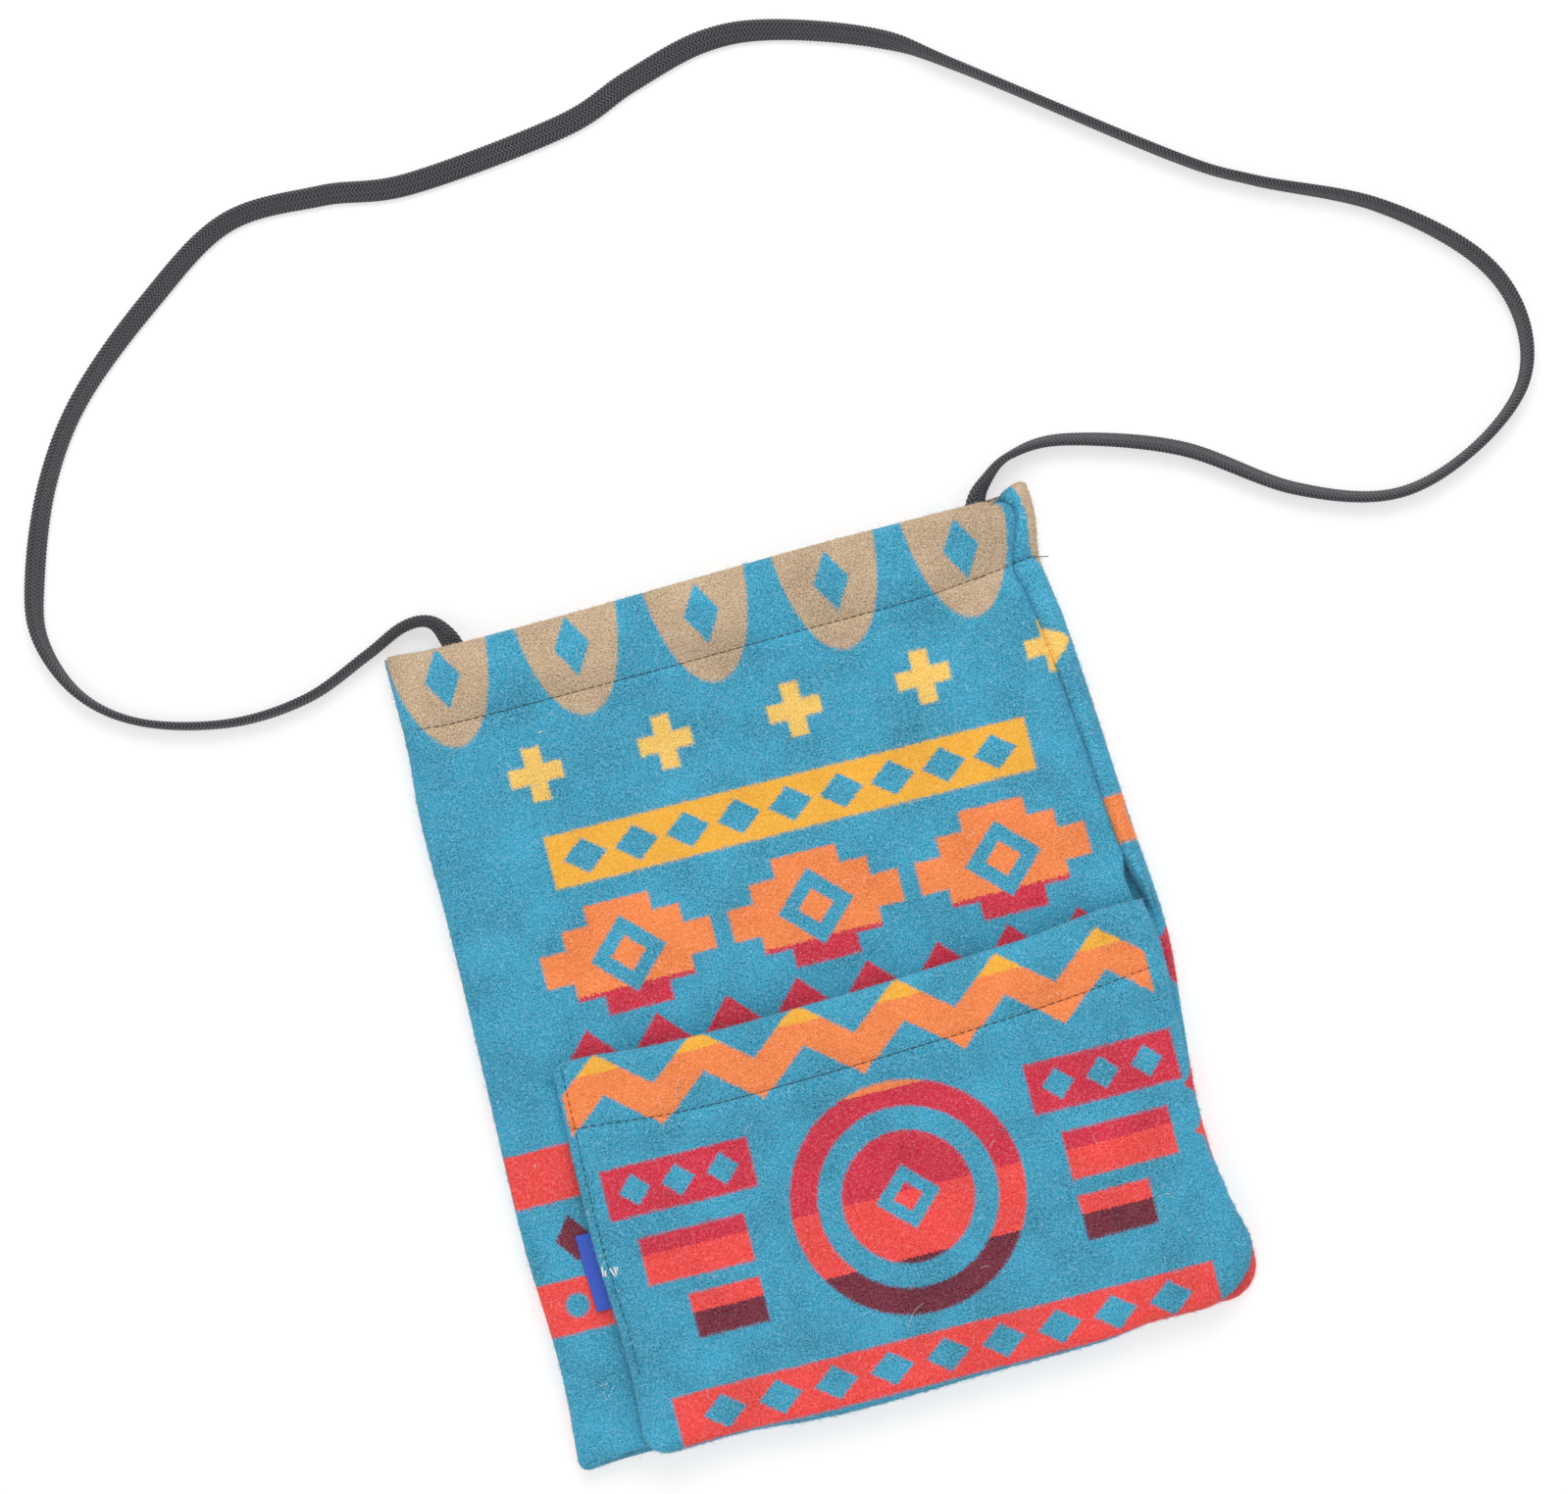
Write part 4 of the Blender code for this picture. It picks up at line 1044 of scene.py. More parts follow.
def merged(obj):
    """An object with the vertices that share a place made one, shaded smooth."""
    bm = bmesh.new()
    bm.from_mesh(obj.data)
    bmesh.ops.remove_doubles(bm, verts=bm.verts, dist=MERGE)
    bm.to_mesh(obj.data)
    bm.free()
    obj.data.shade_smooth()
    return obj


def fibre_piece(name, lines, cloth, thickness):
    """One mesh of thin closed fibres, one through each line of points, pointed at both ends."""
    obj = through(name, lines, thickness, 0, pointed=True)
    mesh = obj.data
    per_fibre = len(mesh.vertices) // len(lines)
    verts = read_all(mesh.loops, "vertex_index", 1, np.int32)
    for layer in list(mesh.uv_layers):
        mesh.uv_layers.remove(layer)
    layer = mesh.uv_layers.new(name=UV_NAME)
    layer.data.foreach_set("uv", cloth[verts // per_fibre].ravel())
    return merged(obj)


def tube(name, lines, diameter, sides=2):
    """Round closed threads, one through each line of points."""
    return merged(through(name, lines, diameter, sides))


def fill(tree, node, inputs):
    """Gives a node's inputs their values, or links them: to an output, or to another node's first output."""
    for name, value in inputs.items():
        if isinstance(value, bpy.types.Node):
            value = value.outputs[0]
        if isinstance(value, bpy.types.NodeSocket):
            tree.links.new(value, node.inputs[name])
        else:
            node.inputs[name].default_value = value


def add(tree, kind, inputs=None, **settings):
    """Adds a shader node with its settings and its inputs' values or links."""
    node = tree.nodes.new("ShaderNode" + kind)
    for name, value in settings.items():
        setattr(node, name, value)
    fill(tree, node, inputs or {})
    return node


def start_material(name):
    """A material with a Principled shader, and the tree and shader to finish it with."""
    made = bpy.data.materials.new(name)
    made.use_nodes = True
    return made, made.node_tree, made.node_tree.nodes["Principled BSDF"]


def soft_inside(tree, span, edge, softness):
    """1 where a span is well below its edge and 0 where it is well above, blended over the softness."""
    return add(tree, "MapRange", {"Value": span, "From Min": edge + softness, "From Max": edge - softness})


def motif_mask(tree, place, motif):
    """1 inside a motif and 0 outside. A motif is (shape, middle, half size, copies, pitch), in mm."""
    shape, middle, half, copies, pitch = motif
    local = add(tree, "VectorMath", {0: place, 1: (*middle, 0)}, operation="SUBTRACT")
    reach = (pitch / 2 if copies > 1 else 1000, 1000, 1000)
    low = tuple(-r for r in reach)
    copy = add(tree, "VectorMath", {0: local, 1: reach, 2: low}, operation="WRAP")
    size = add(tree, "VectorMath", {0: copy}, operation="ABSOLUTE")
    if shape in ("disc", "lozenge"):
        share = add(tree, "VectorMath", {0: size, 1: (*half, 1000)}, operation="DIVIDE")
        if shape == "disc":
            span = add(tree, "VectorMath", {0: share}, operation="LENGTH").outputs["Value"]
        else:
            span = add(tree, "VectorMath", {0: share, 1: (1, 1, 0)}, operation="DOT_PRODUCT")
            span = span.outputs["Value"]
        mask = soft_inside(tree, span, 1, BLEED / math.sqrt(half[0] * half[1]))
    else:
        over = add(tree, "VectorMath", {0: size, 1: (*half, 0)}, operation="SUBTRACT")
        parts = add(tree, "SeparateXYZ", {0: over})
        span = add(tree, "Math", {0: parts.outputs[0], 1: parts.outputs[1]}, operation="MAXIMUM")
        if shape == "cross":
            arm = add(tree, "Math", {0: parts.outputs[0], 1: parts.outputs[1]}, operation="MINIMUM")
            arm = add(tree, "Math", {0: arm, 1: half[0] * 2 / 3}, operation="ADD")
            span = add(tree, "Math", {0: span, 1: arm}, operation="MAXIMUM")
        mask = soft_inside(tree, span, 0, BLEED)
    if copies == 1:
        return mask
    across = add(tree, "SeparateXYZ", {0: local}).outputs[0]
    across = add(tree, "Math", {0: across}, operation="ABSOLUTE")
    row = add(tree, "Math", {0: across, 1: copies * pitch / 2}, operation="LESS_THAN")
    return add(tree, "Math", {0: mask, 1: row}, operation="MULTIPLY")


def zigzag_mask(tree, place, motif):
    """1 inside a zigzag ribbon, which is (shape, middle, half length and thickness, height, pitch), in mm."""
    _, middle, half, height, pitch = motif
    local = add(tree, "VectorMath", {0: place, 1: (*middle, 0)}, operation="SUBTRACT")
    parts = add(tree, "SeparateXYZ", {0: local})
    swing = add(tree, "Math", {0: parts.outputs[0], 1: pitch / 2}, operation="PINGPONG")
    slope = 2 * height / pitch
    line = add(tree, "Math", {0: swing, 1: slope, 2: -height / 2}, operation="MULTIPLY_ADD")
    off = add(tree, "Math", {0: parts.outputs[1], 1: line}, operation="SUBTRACT")
    off = add(tree, "Math", {0: off}, operation="ABSOLUTE")
    off = add(tree, "Math", {0: off, 1: half[1]}, operation="DIVIDE")
    off = soft_inside(tree, off, 1, BLEED / half[1])
    across = add(tree, "Math", {0: parts.outputs[0]}, operation="ABSOLUTE")
    within = add(tree, "Math", {0: across, 1: half[0]}, operation="LESS_THAN")
    return add(tree, "Math", {0: off, 1: within}, operation="MULTIPLY")


# How far a colour's edge is blended either way, in mm
BLEED = 0.5

# How strongly the grain, partly painted shade and light, and the pale fibres' painted highlight show in each
# colour, beside the ground's
GRAIN = {
    "tan": 0.85, "straw": 0.5, "gold": 0.35, "orange": 0.5, "raspberry": 0.6, "coral": 0.48, "maroon": 1.4,
}

# The heights in mm that the colour bands lie between
BANDS_FROM, BANDS_TO = -200, 200

# Each panel's colour bands as (height in mm from which a colour holds upwards, colour), from the bottom up
FRONT_BANDS = [
    (BANDS_FROM, "coral"), (-76, "maroon"), (-53, "coral"), (-27, "raspberry"), (12, "orange"), (45, "gold"),
    (78, "straw"), (97, "tan"),
]
POCKET_BANDS = [
    (BANDS_FROM, "coral"), (-119, "maroon"), (-97, "coral"), (-76, "raspberry"), (-41, "orange"),
    (-13, "gold"),
]
BACK_BANDS = [
    (BANDS_FROM, "coral"), (-46, "raspberry"), (8, "orange"), (40, "gold"), (76, "straw"), (104, "tan"),
]

# Each panel's motifs: (adds, (shape, middle, half size, copies, pitch)) in mm, later ones over earlier ones
FRONT_MOTIFS = [
    (True, ("disc", (-9, 145), (17.5, 42), 5, 44)),
    (False, ("lozenge", (-9, 126), (6, 10), 5, 44)),
    (True, ("cross", (13, 88), (9, 9), 5, 44)),
    (True, ("block", (4, 58), (82, 9), 1, 0)),
    (False, ("lozenge", (4, 58), (7.5, 6), 9, 17.5)),
    (True, ("block", (4, 23), (29, 5.5), 3, 64)),
    (True, ("block", (4, 23), (20, 12), 3, 64)),
    (True, ("block", (4, 23), (11, 18.5), 3, 64)),
    (False, ("lozenge", (4, 23), (13, 13), 3, 64)),
    (True, ("lozenge", (4, 23), (6, 6), 3, 64)),
    (True, ("zigzag", (4, -10), (96, 5), 13, 24)),
    (True, ("block", (-104, -42), (14, 9), 1, 0)),
    (True, ("lozenge", (-101, -64), (6, 8), 1, 0)),
    (True, ("block", (-104, -86), (16, 9), 1, 0)),
    (False, ("disc", (-105, -86), (4, 4), 1, 0)),
]
POCKET_MOTIFS = [
    (True, ("disc", (10, -77), (39, 39), 1, 0)),
    (False, ("disc", (10, -77), (30, 30), 1, 0)),
    (True, ("disc", (10, -77), (22, 22), 1, 0)),
    (False, ("lozenge", (10, -77), (11, 11), 1, 0)),
    (True, ("lozenge", (10, -77), (5, 5), 1, 0)),
    (True, ("zigzag", (6, -20), (99, 7), 14, 34)),
    (True, ("block", (-62, -53), (25, 8.5), 1, 0)),
    (False, ("lozenge", (-62, -53), (5.5, 5.5), 3, 15)),
    (True, ("block", (-62, -77), (18, 8), 1, 0)),
    (True, ("block", (-56, -98), (12, 7.5), 1, 0)),
    (True, ("block", (82, -53), (25, 8.5), 1, 0)),
    (False, ("lozenge", (82, -53), (5.5, 5.5), 3, 15)),
    (True, ("block", (82, -77), (18, 8), 1, 0)),
    (True, ("block", (76, -98), (12, 7.5), 1, 0)),
    (True, ("block", (10, -131), (92, 8.5), 1, 0)),
    (False, ("lozenge", (10, -131), (7.5, 6), 9, 19)),
    (True, ("lozenge", (115, -64), (8, 7), 1, 0)),
    (True, ("lozenge", (116, -80), (9, 6), 1, 0)),
]
BACK_MOTIFS = [
    (True, ("disc", (9, 145), (17.5, 42), 6, 44)),
    (True, ("lozenge", (16, 88), (12, 11), 6, 36)),
    (True, ("block", (0, 58), (112, 9), 1, 0)),
    (False, ("lozenge", (8, 58), (7.5, 6), 12, 17.5)),
    (True, ("block", (0, 26), (130, 8), 1, 0)),
    (False, ("disc", (8, 26), (5, 5), 12, 18)),
    (True, ("lozenge", (10, -22), (16, 15), 8, 34)),
    (True, ("lozenge", (112, -64), (10, 8), 1, 0)),
    (True, ("block", (0, -85), (130, 8), 1, 0)),
    (True, ("block", (0, -128), (130, 12), 1, 0)),
    (True, ("block", (115, -138), (12, 23), 1, 0)),
    (False, ("disc", (-24, -126), (6, 6), 6, 24)),
]


def winding_lines(tree, place, scale, width, seed):
    """Thin curly lines where a noise crosses its middle value: 1 on a line and 0 off it."""
    moved = add(tree, "VectorMath", {0: place, 1: (seed * 31.7, seed * 17.3, seed)}, operation="ADD")
    field = add(tree, "TexNoise", {
        "Vector": moved, "Scale": scale, "Detail": 1.0, "Roughness": 0.45, "Distortion": 0.5,
    })
    off = add(tree, "Math", {0: field, 1: 0.5}, operation="SUBTRACT")
    off = add(tree, "Math", {0: off}, operation="ABSOLUTE")
    return add(tree, "MapRange", {"Value": off, "From Max": width, "To Min": 1.0, "To Max": 0.0})


def strayed(tree, place):
    """The place in the weave that a place's colour comes from.

    Fibre bundles 0.6 mm wide or so carry each colour across its edge, over the 1 mm steps of the weave.
    """
    stray = add(tree, "TexNoise", {"Vector": place, "Scale": 1.7, "Detail": 3.0}).outputs["Color"]
    stray = add(tree, "VectorMath", {0: stray, 1: (0.5, 0.5, 0.5)}, operation="SUBTRACT")
    stray = add(tree, "VectorMath", {0: stray, "Scale": 3.0}, operation="SCALE")
    woven = add(tree, "VectorMath", {0: place, 1: (1.1, 1.1, 1.1)}, operation="SNAP")
    woven = add(tree, "Mix", {0: 0.35, 4: place, 5: woven}, data_type="VECTOR").outputs[1]
    return add(tree, "VectorMath", {0: woven, 1: stray}, operation="ADD")


def motifs_mask(tree, woven, motifs):
    """1 where a motif shows and 0 where the ground does."""
    mask = None
    for adds, motif in motifs:
        draw = zigzag_mask if motif[0] == "zigzag" else motif_mask
        shape = draw(tree, woven, motif)
        if mask is None:
            mask = shape
        elif adds:
            mask = add(tree, "Math", {0: mask, 1: shape}, operation="MAXIMUM")
        else:
            mask = add(tree, "Math", {0: mask, 1: shape}, operation="SUBTRACT", use_clamp=True)
    return mask


def band_ramp(tree, woven, bands):
    """The colour bands up the cloth, with half of a colour's grain as its alpha."""
    height = add(tree, "SeparateXYZ", {0: woven}).outputs[1]
    low, high = BANDS_FROM, BANDS_TO
    height = add(tree, "MapRange", {"Value": height, "From Min": low, "From Max": high})
    ramp = add(tree, "ValToRGB", {"Fac": height})
    ramp.color_ramp.interpolation = "CONSTANT"
    for n, (start, colour) in enumerate(bands):
        at = (start - low) / (high - low)
        stop = ramp.color_ramp.elements[0] if n == 0 else ramp.color_ramp.elements.new(at)
        stop.position = at
        stop.color = (*getattr(bpy.context.scene.tote_colours, colour), GRAIN[colour] / 2)
    ramp.color_ramp.elements.remove(ramp.color_ramp.elements[-1])
    return ramp


def wool_material(name, bands, motifs, fibres=False):
    """Felted jacquard wool, woven in colours, fulled and brushed.

    Brushing lays a nap of short curly fibres over the weave, so a colour's edge is jagged and soft, and
    each colour is mottled at the width of a fibre bundle, partly in its own tone and partly in painted shade
    and light. Pale fibre lines are a painted highlight of the nap; the shader adds only a faint haze at a
    grazing angle.
    """
    made, tree, shader = start_material(name)
    source = add(tree, "UVMap", uv_map=UV_NAME)
    place = add(tree, "VectorMath", {0: source, "Scale": 1 / MM}, operation="SCALE")
    woven = strayed(tree, place)
    mask = motifs_mask(tree, woven, motifs)
    ramp = band_ramp(tree, woven, bands)
    ground = (*bpy.context.scene.tote_colours.ground, 1)
    wool = add(tree, "Mix", {0: mask, 6: ground, 7: ramp}, data_type="RGBA").outputs[2]
    grained = add(tree, "Math", {0: ramp.outputs["Alpha"], 1: 2.0}, operation="MULTIPLY")
    grained = add(tree, "Mix", {0: mask, 2: 1.0, 3: grained})
    # Tone: a grain 0.6 mm across, partly the wool's own mottle and partly painted shade in its pits and
    # painted light on its bundles, the ribs of the weave, and patches of painted sheen and shade where the
    # nap lies another way
    grain = add(tree, "TexNoise", {"Vector": place, "Scale": 1.8, "Detail": 2.0, "Roughness": 0.6})
    grain = add(tree, "MapRange", {
        "Value": grain, "From Min": 0.3, "From Max": 0.7, "To Min": 0.28, "To Max": 1.64,
    })
    patches = add(tree, "TexNoise", {"Vector": place, "Scale": 0.05, "Detail": 3.0})
    turned = add(tree, "Mapping", {"Vector": place, "Rotation": (0, 0, 0.5), "Scale": (0.5, 2.2, 1)})
    threads = add(tree, "TexNoise", {"Vector": turned, "Scale": 1.0, "Detail": 1.0})
    tone = add(tree, "Math", {0: threads, 1: 0.4, 2: grain}, operation="MULTIPLY_ADD")
    tone = add(tree, "Math", {0: patches, 1: 1.0, 2: tone}, operation="MULTIPLY_ADD")
    tone = add(tree, "Math", {0: tone, 1: 0.47 if fibres else 0.67}, operation="SUBTRACT")
    tone = add(tree, "Mix", {0: grained, 2: 1.0, 3: tone}, clamp_factor=False)
    shade = add(tree, "HueSaturation", {"Value": tone, "Color": wool})
    # Pale fibre lines wind over the ground, thicker in some places than in others: a painted highlight of the
    # nap, lighter and greyer than the wool under it
    lines = [winding_lines(tree, place, *line) for line in ((0.9, 0.045, 1), (1.3, 0.05, 2), (0.55, 0.02, 3))]
    pale = add(tree, "Math", {0: lines[0], 1: lines[1]}, operation="MAXIMUM")
    pale = add(tree, "Math", {0: pale, 1: lines[2]}, operation="MAXIMUM")
    thick = add(tree, "TexNoise", {"Vector": place, "Scale": 0.9, "Detail": 1.0})
    thick = add(tree, "MapRange", {
        "Value": thick, "From Min": 0.35, "From Max": 0.65, "To Min": 0.1, "To Max": 0.85,
    })
    pale = add(tree, "Math", {0: pale, 1: thick}, operation="MULTIPLY")
    pale = add(tree, "Math", {0: pale, 1: grained}, operation="MULTIPLY", use_clamp=True)
    fibre_highlight = add(tree, "HueSaturation", {"Value": 1.6, "Saturation": 0.74, "Color": wool})
    colour = add(tree, "Mix", {0: pale, 6: shade, 7: fibre_highlight}, data_type="RGBA")
    fill(tree, shader, {
        "Base Color": colour.outputs[2], "Roughness": 0.95, "Specular IOR Level": 0.12, "Sheen Weight": 0.2,
        "Sheen Roughness": 0.5,
    })
    if not fibres:
        nap = add(tree, "Math", {0: grain, 1: pale}, operation="ADD")
        bump = add(tree, "Bump", {"Height": nap, "Distance": 0.3 * MM, "Strength": 0.6})
        fill(tree, shader, {"Normal": bump})
    return made


# A wave texture's scale, times the distance from one crest to the next
WAVE = 0.31


def thread_material(name, colour):
    """Spun polyester thread, two plies twisted together.

    The twist shows as a fine slanting rib, so the thread is never one flat line. It is matt, with a slight
    gloss.
    """
    made, tree, shader = start_material(name)
    place = add(tree, "TexCoord").outputs["Object"]
    twist = add(tree, "Mapping", {"Vector": place, "Rotation": (0, 0, 0.6)})
    ply = add(tree, "TexWave", {"Vector": twist, "Scale": WAVE / (0.45 * MM), "Distortion": 1.0})
    # The tone follows the twist: painted shade in the grooves between the plies, painted light on their
    # crowns
    tone = add(tree, "MapRange", {"Value": ply.outputs["Fac"], "To Min": 0.75, "To Max": 1.2})
    shade = add(tree, "HueSaturation", {"Value": tone, "Color": (*colour, 1)})
    bump = add(tree, "Bump", {"Height": ply.outputs["Fac"], "Distance": 0.06 * MM, "Strength": 0.6})
    fill(tree, shader, {"Base Color": shade, "Normal": bump, "Roughness": 0.7, "Specular IOR Level": 0.3})
    return made


# The braid's lanes all round it, and how many ribs a strand climbs as it crosses a lane
BRAID_LANES = 10
BRAID_SLANT = 1.15


def braid_material():
    """Flat braid of textured polyester yarn, charcoal.

    Short slanting strands lie in lanes, herringbone fashion. Each is a bundle of fine filaments with a soft
    satin gloss. Its crown carries a painted highlight with specks of painted glint, and where it dives under
    the next lane it carries painted shade.
    """
    made, tree, shader = start_material("Polyester braid, charcoal")
    place = add(tree, "UVMap", uv_map=UV_NAME)
    parts = add(tree, "SeparateXYZ", {0: place})
    swing = add(tree, "Math", {0: parts.outputs[1], 1: 1.0}, operation="PINGPONG")
    phase = add(tree, "Math", {0: swing, 1: BRAID_SLANT, 2: parts.outputs[0]}, operation="MULTIPLY_ADD")
    waves = []
    for turns in (phase, parts.outputs[1]):
        angle = add(tree, "Math", {0: turns, 1: math.pi}, operation="MULTIPLY")
        wave = add(tree, "Math", {0: angle}, operation="SINE")
        waves.append(add(tree, "Math", {0: wave}, operation="ABSOLUTE"))
    lane = add(tree, "MapRange", {"Value": waves[1], "From Max": 0.7, "To Min": 0.65})
    height = add(tree, "Math", {0: waves[0], 1: lane}, operation="MULTIPLY")
    filaments = add(tree, "Mapping", {"Vector": place, "Scale": (2.5, 6.0, 1)})
    fine = add(tree, "TexNoise", {"Vector": filaments, "Scale": 1.0, "Detail": 2.0})
    # Light specks on the crowns: painted glints of the filaments
    specks = add(tree, "MapRange", {"Value": fine, "From Min": 0.52, "From Max": 0.72, "To Max": 0.9})
    specks = add(tree, "Math", {0: specks, 1: height}, operation="MULTIPLY")
    long = add(tree, "TexNoise", {"Vector": place, "Scale": 0.04, "Detail": 1.0})
    # The tone follows the ribs' height: painted highlight on the crowns, painted shade where a strand dives
    tone = add(tree, "MapRange", {"Value": height, "To Min": 0.05, "To Max": 1.9})
    tone = add(tree, "Math", {0: specks, 1: 1.0, 2: tone}, operation="MULTIPLY_ADD")
    tone = add(tree, "Math", {0: long, 1: 0.3, 2: tone}, operation="MULTIPLY_ADD")
    tone = add(tree, "Math", {0: tone, 1: 0.15}, operation="SUBTRACT")
    shade = add(tree, "HueSaturation", {"Value": tone, "Color": (*bpy.context.scene.tote_colours.braid, 1)})
    bump = add(tree, "Bump", {"Height": height, "Distance": 0.5 * MM, "Strength": 1.0})
    fill(tree, shader, {
        "Base Color": shade, "Normal": bump, "Roughness": 0.62, "Specular IOR Level": 0.35,
        "Sheen Weight": 0.15,
    })
    return made


def ribbon_material():
    """Woven polyester ribbon, blue satin.

    Its wefts make a fine rib across it, 0.35 mm apart, with a satin gloss along them.
    """
    made, tree, shader = start_material("Polyester ribbon, blue satin weave")
    place = add(tree, "UVMap", uv_map=UV_NAME)
    weft = {"Vector": place, "Scale": WAVE / (0.35 * MM), "Distortion": 0.4}
    ribs = add(tree, "TexWave", weft, bands_direction="Y").outputs["Fac"]
    specks = add(tree, "TexNoise", {"Vector": place, "Scale": 1 / (0.5 * MM), "Detail": 2.0})
    # The tone follows the ribs: painted shade between the wefts, painted light on them
    tone = add(tree, "MapRange", {"Value": ribs, "To Min": 0.8, "To Max": 1.08})
    tone = add(tree, "Math", {0: specks, 1: 0.3, 2: tone}, operation="MULTIPLY_ADD")
    tone = add(tree, "Math", {0: tone, 1: 0.12}, operation="SUBTRACT")
    shade = add(tree, "HueSaturation", {"Value": tone, "Color": (*bpy.context.scene.tote_colours.ribbon, 1)})
    bump = add(tree, "Bump", {"Height": ribs, "Distance": 0.05 * MM, "Strength": 0.5})
    fill(tree, shader, {"Base Color": shade, "Normal": bump, "Roughness": 0.55, "Specular IOR Level": 0.4})
    return made


def spline_through(points, t):
    """The smooth curve through rows of numbers, read at t rows along."""
    k = min(int(t), len(points) - 2)
    t -= k
    rows = [points[max(k - 1, 0)], points[k], points[k + 1], points[min(k + 2, len(points) - 1)]]
    values = []
    for a, b, c, d in zip(*rows):
        bend = (2 * a - 5 * b + 4 * c - d) * t**2 + (3 * b - a - 3 * c + d) * t**3
        values.append(0.5 * (2 * b + (c - a) * t + bend))
    return values


def strap_line(step):
    """Centre points and rolls of the strap, evenly spaced along it."""
    sizes = bpy.context.scene.tote_sizes
    steps = ROUTE_STEPS * (len(STRAP_ROUTE) - 1)
    fine = [spline_through(STRAP_ROUTE, n / ROUTE_STEPS) for n in range(steps + 1)]
    half_width = (sizes.braid_width - sizes.braid_thickness) / 2
    places = []
    for x, y, roll, lift in fine:
        low = half_width * abs(math.sin(math.radians(roll))) + sizes.braid_thickness / 2
        # Between two rows the curve can swing below a lift of 0
        places.append((x, y, low + max(lift, 0), math.radians(roll)))
    places = np.array(places)
    lengths = np.concatenate([[0], np.cumsum(np.linalg.norm(np.diff(places[:, :3], axis=0), axis=1))])
    at = np.linspace(0, lengths[-1], round(lengths[-1] / step) + 1)
    return np.stack([np.interp(at, lengths, places[:, n]) for n in range(4)], axis=1), at


def stitch_line(spots, height, lift, sink):
    """Points of a thread that runs over the wool from hole to hole and dips into it at each."""
    stitch = bpy.context.scene.tote_sizes.stitch
    flat = [settled(x, y, 0) for x, y in spots]
    lengths = [0.0]
    for a, b in zip(flat, flat[1:]):
        lengths.append(lengths[-1] + (b - a).length)
    count = max(round(lengths[-1] / stitch), 1)
    points = []
    for n in range(count * STITCH_STEPS + 1):
        at = lengths[-1] * n / (count * STITCH_STEPS)
        k = min(bisect.bisect_right(lengths, at) - 1, len(spots) - 2)
        t = (at - lengths[k]) / (lengths[k + 1] - lengths[k])
        x, y = mix(spots[k][0], spots[k + 1][0], t), mix(spots[k][1], spots[k + 1][1], t)
        over = abs(math.sin(math.pi * n / STITCH_STEPS)) ** STITCH_ARCH
        points.append(settled(x, y, height(x, y) + WOOL / 2 + mix(-sink, lift, over)))
    return points


def back_hem_height(x, y):
    """Height of the middle of the back panel's turned-in hem."""
    return BACK_HEIGHT + 2 * HEM_RADIUS


# The two soft lamps as (name, place, power in watts, size), aimed at the middle of bag and strap
LAMPS = (("key", (0.35, 1.35, 1.5), 15.0, 1.1), ("fill", (-1.2, -0.3, 1.6), 3.5, 1.4))
LAMPS_AIM = (0.0, 0.08, 0.0)
ROOM_LIGHT = 0.68
# The camera looks straight down on the photograph's middle, turned as the photograph is
CAMERA_PLACE = (6.8 * MM, 76.75 * MM, 1.208)
CAMERA_TURN = -14.2
CAMERA_LENS = 83.0
CAMERA_SENSOR = 36.0
FLOOR_SIZE = 4.0
FLOOR_DROP = 0.3 * MM
# The grey that the camera sees instead of the white paper, and how much it glows
FLOOR_SEEN = 0xCBCBCB
FLOOR_GLOW = 0.5


def sew_dark(name, points, made_name, node):
    """A length of near black thread, as a piece in the place of a node."""
    piece = tube(name, [points], bpy.context.scene.tote_sizes.thread)
    colour = bpy.context.scene.tote_colours.dark_thread
    made = thread_material(f"Polyester thread, near black, {made_name}", colour)
    return dress(piece, made, "dark_thread", node)


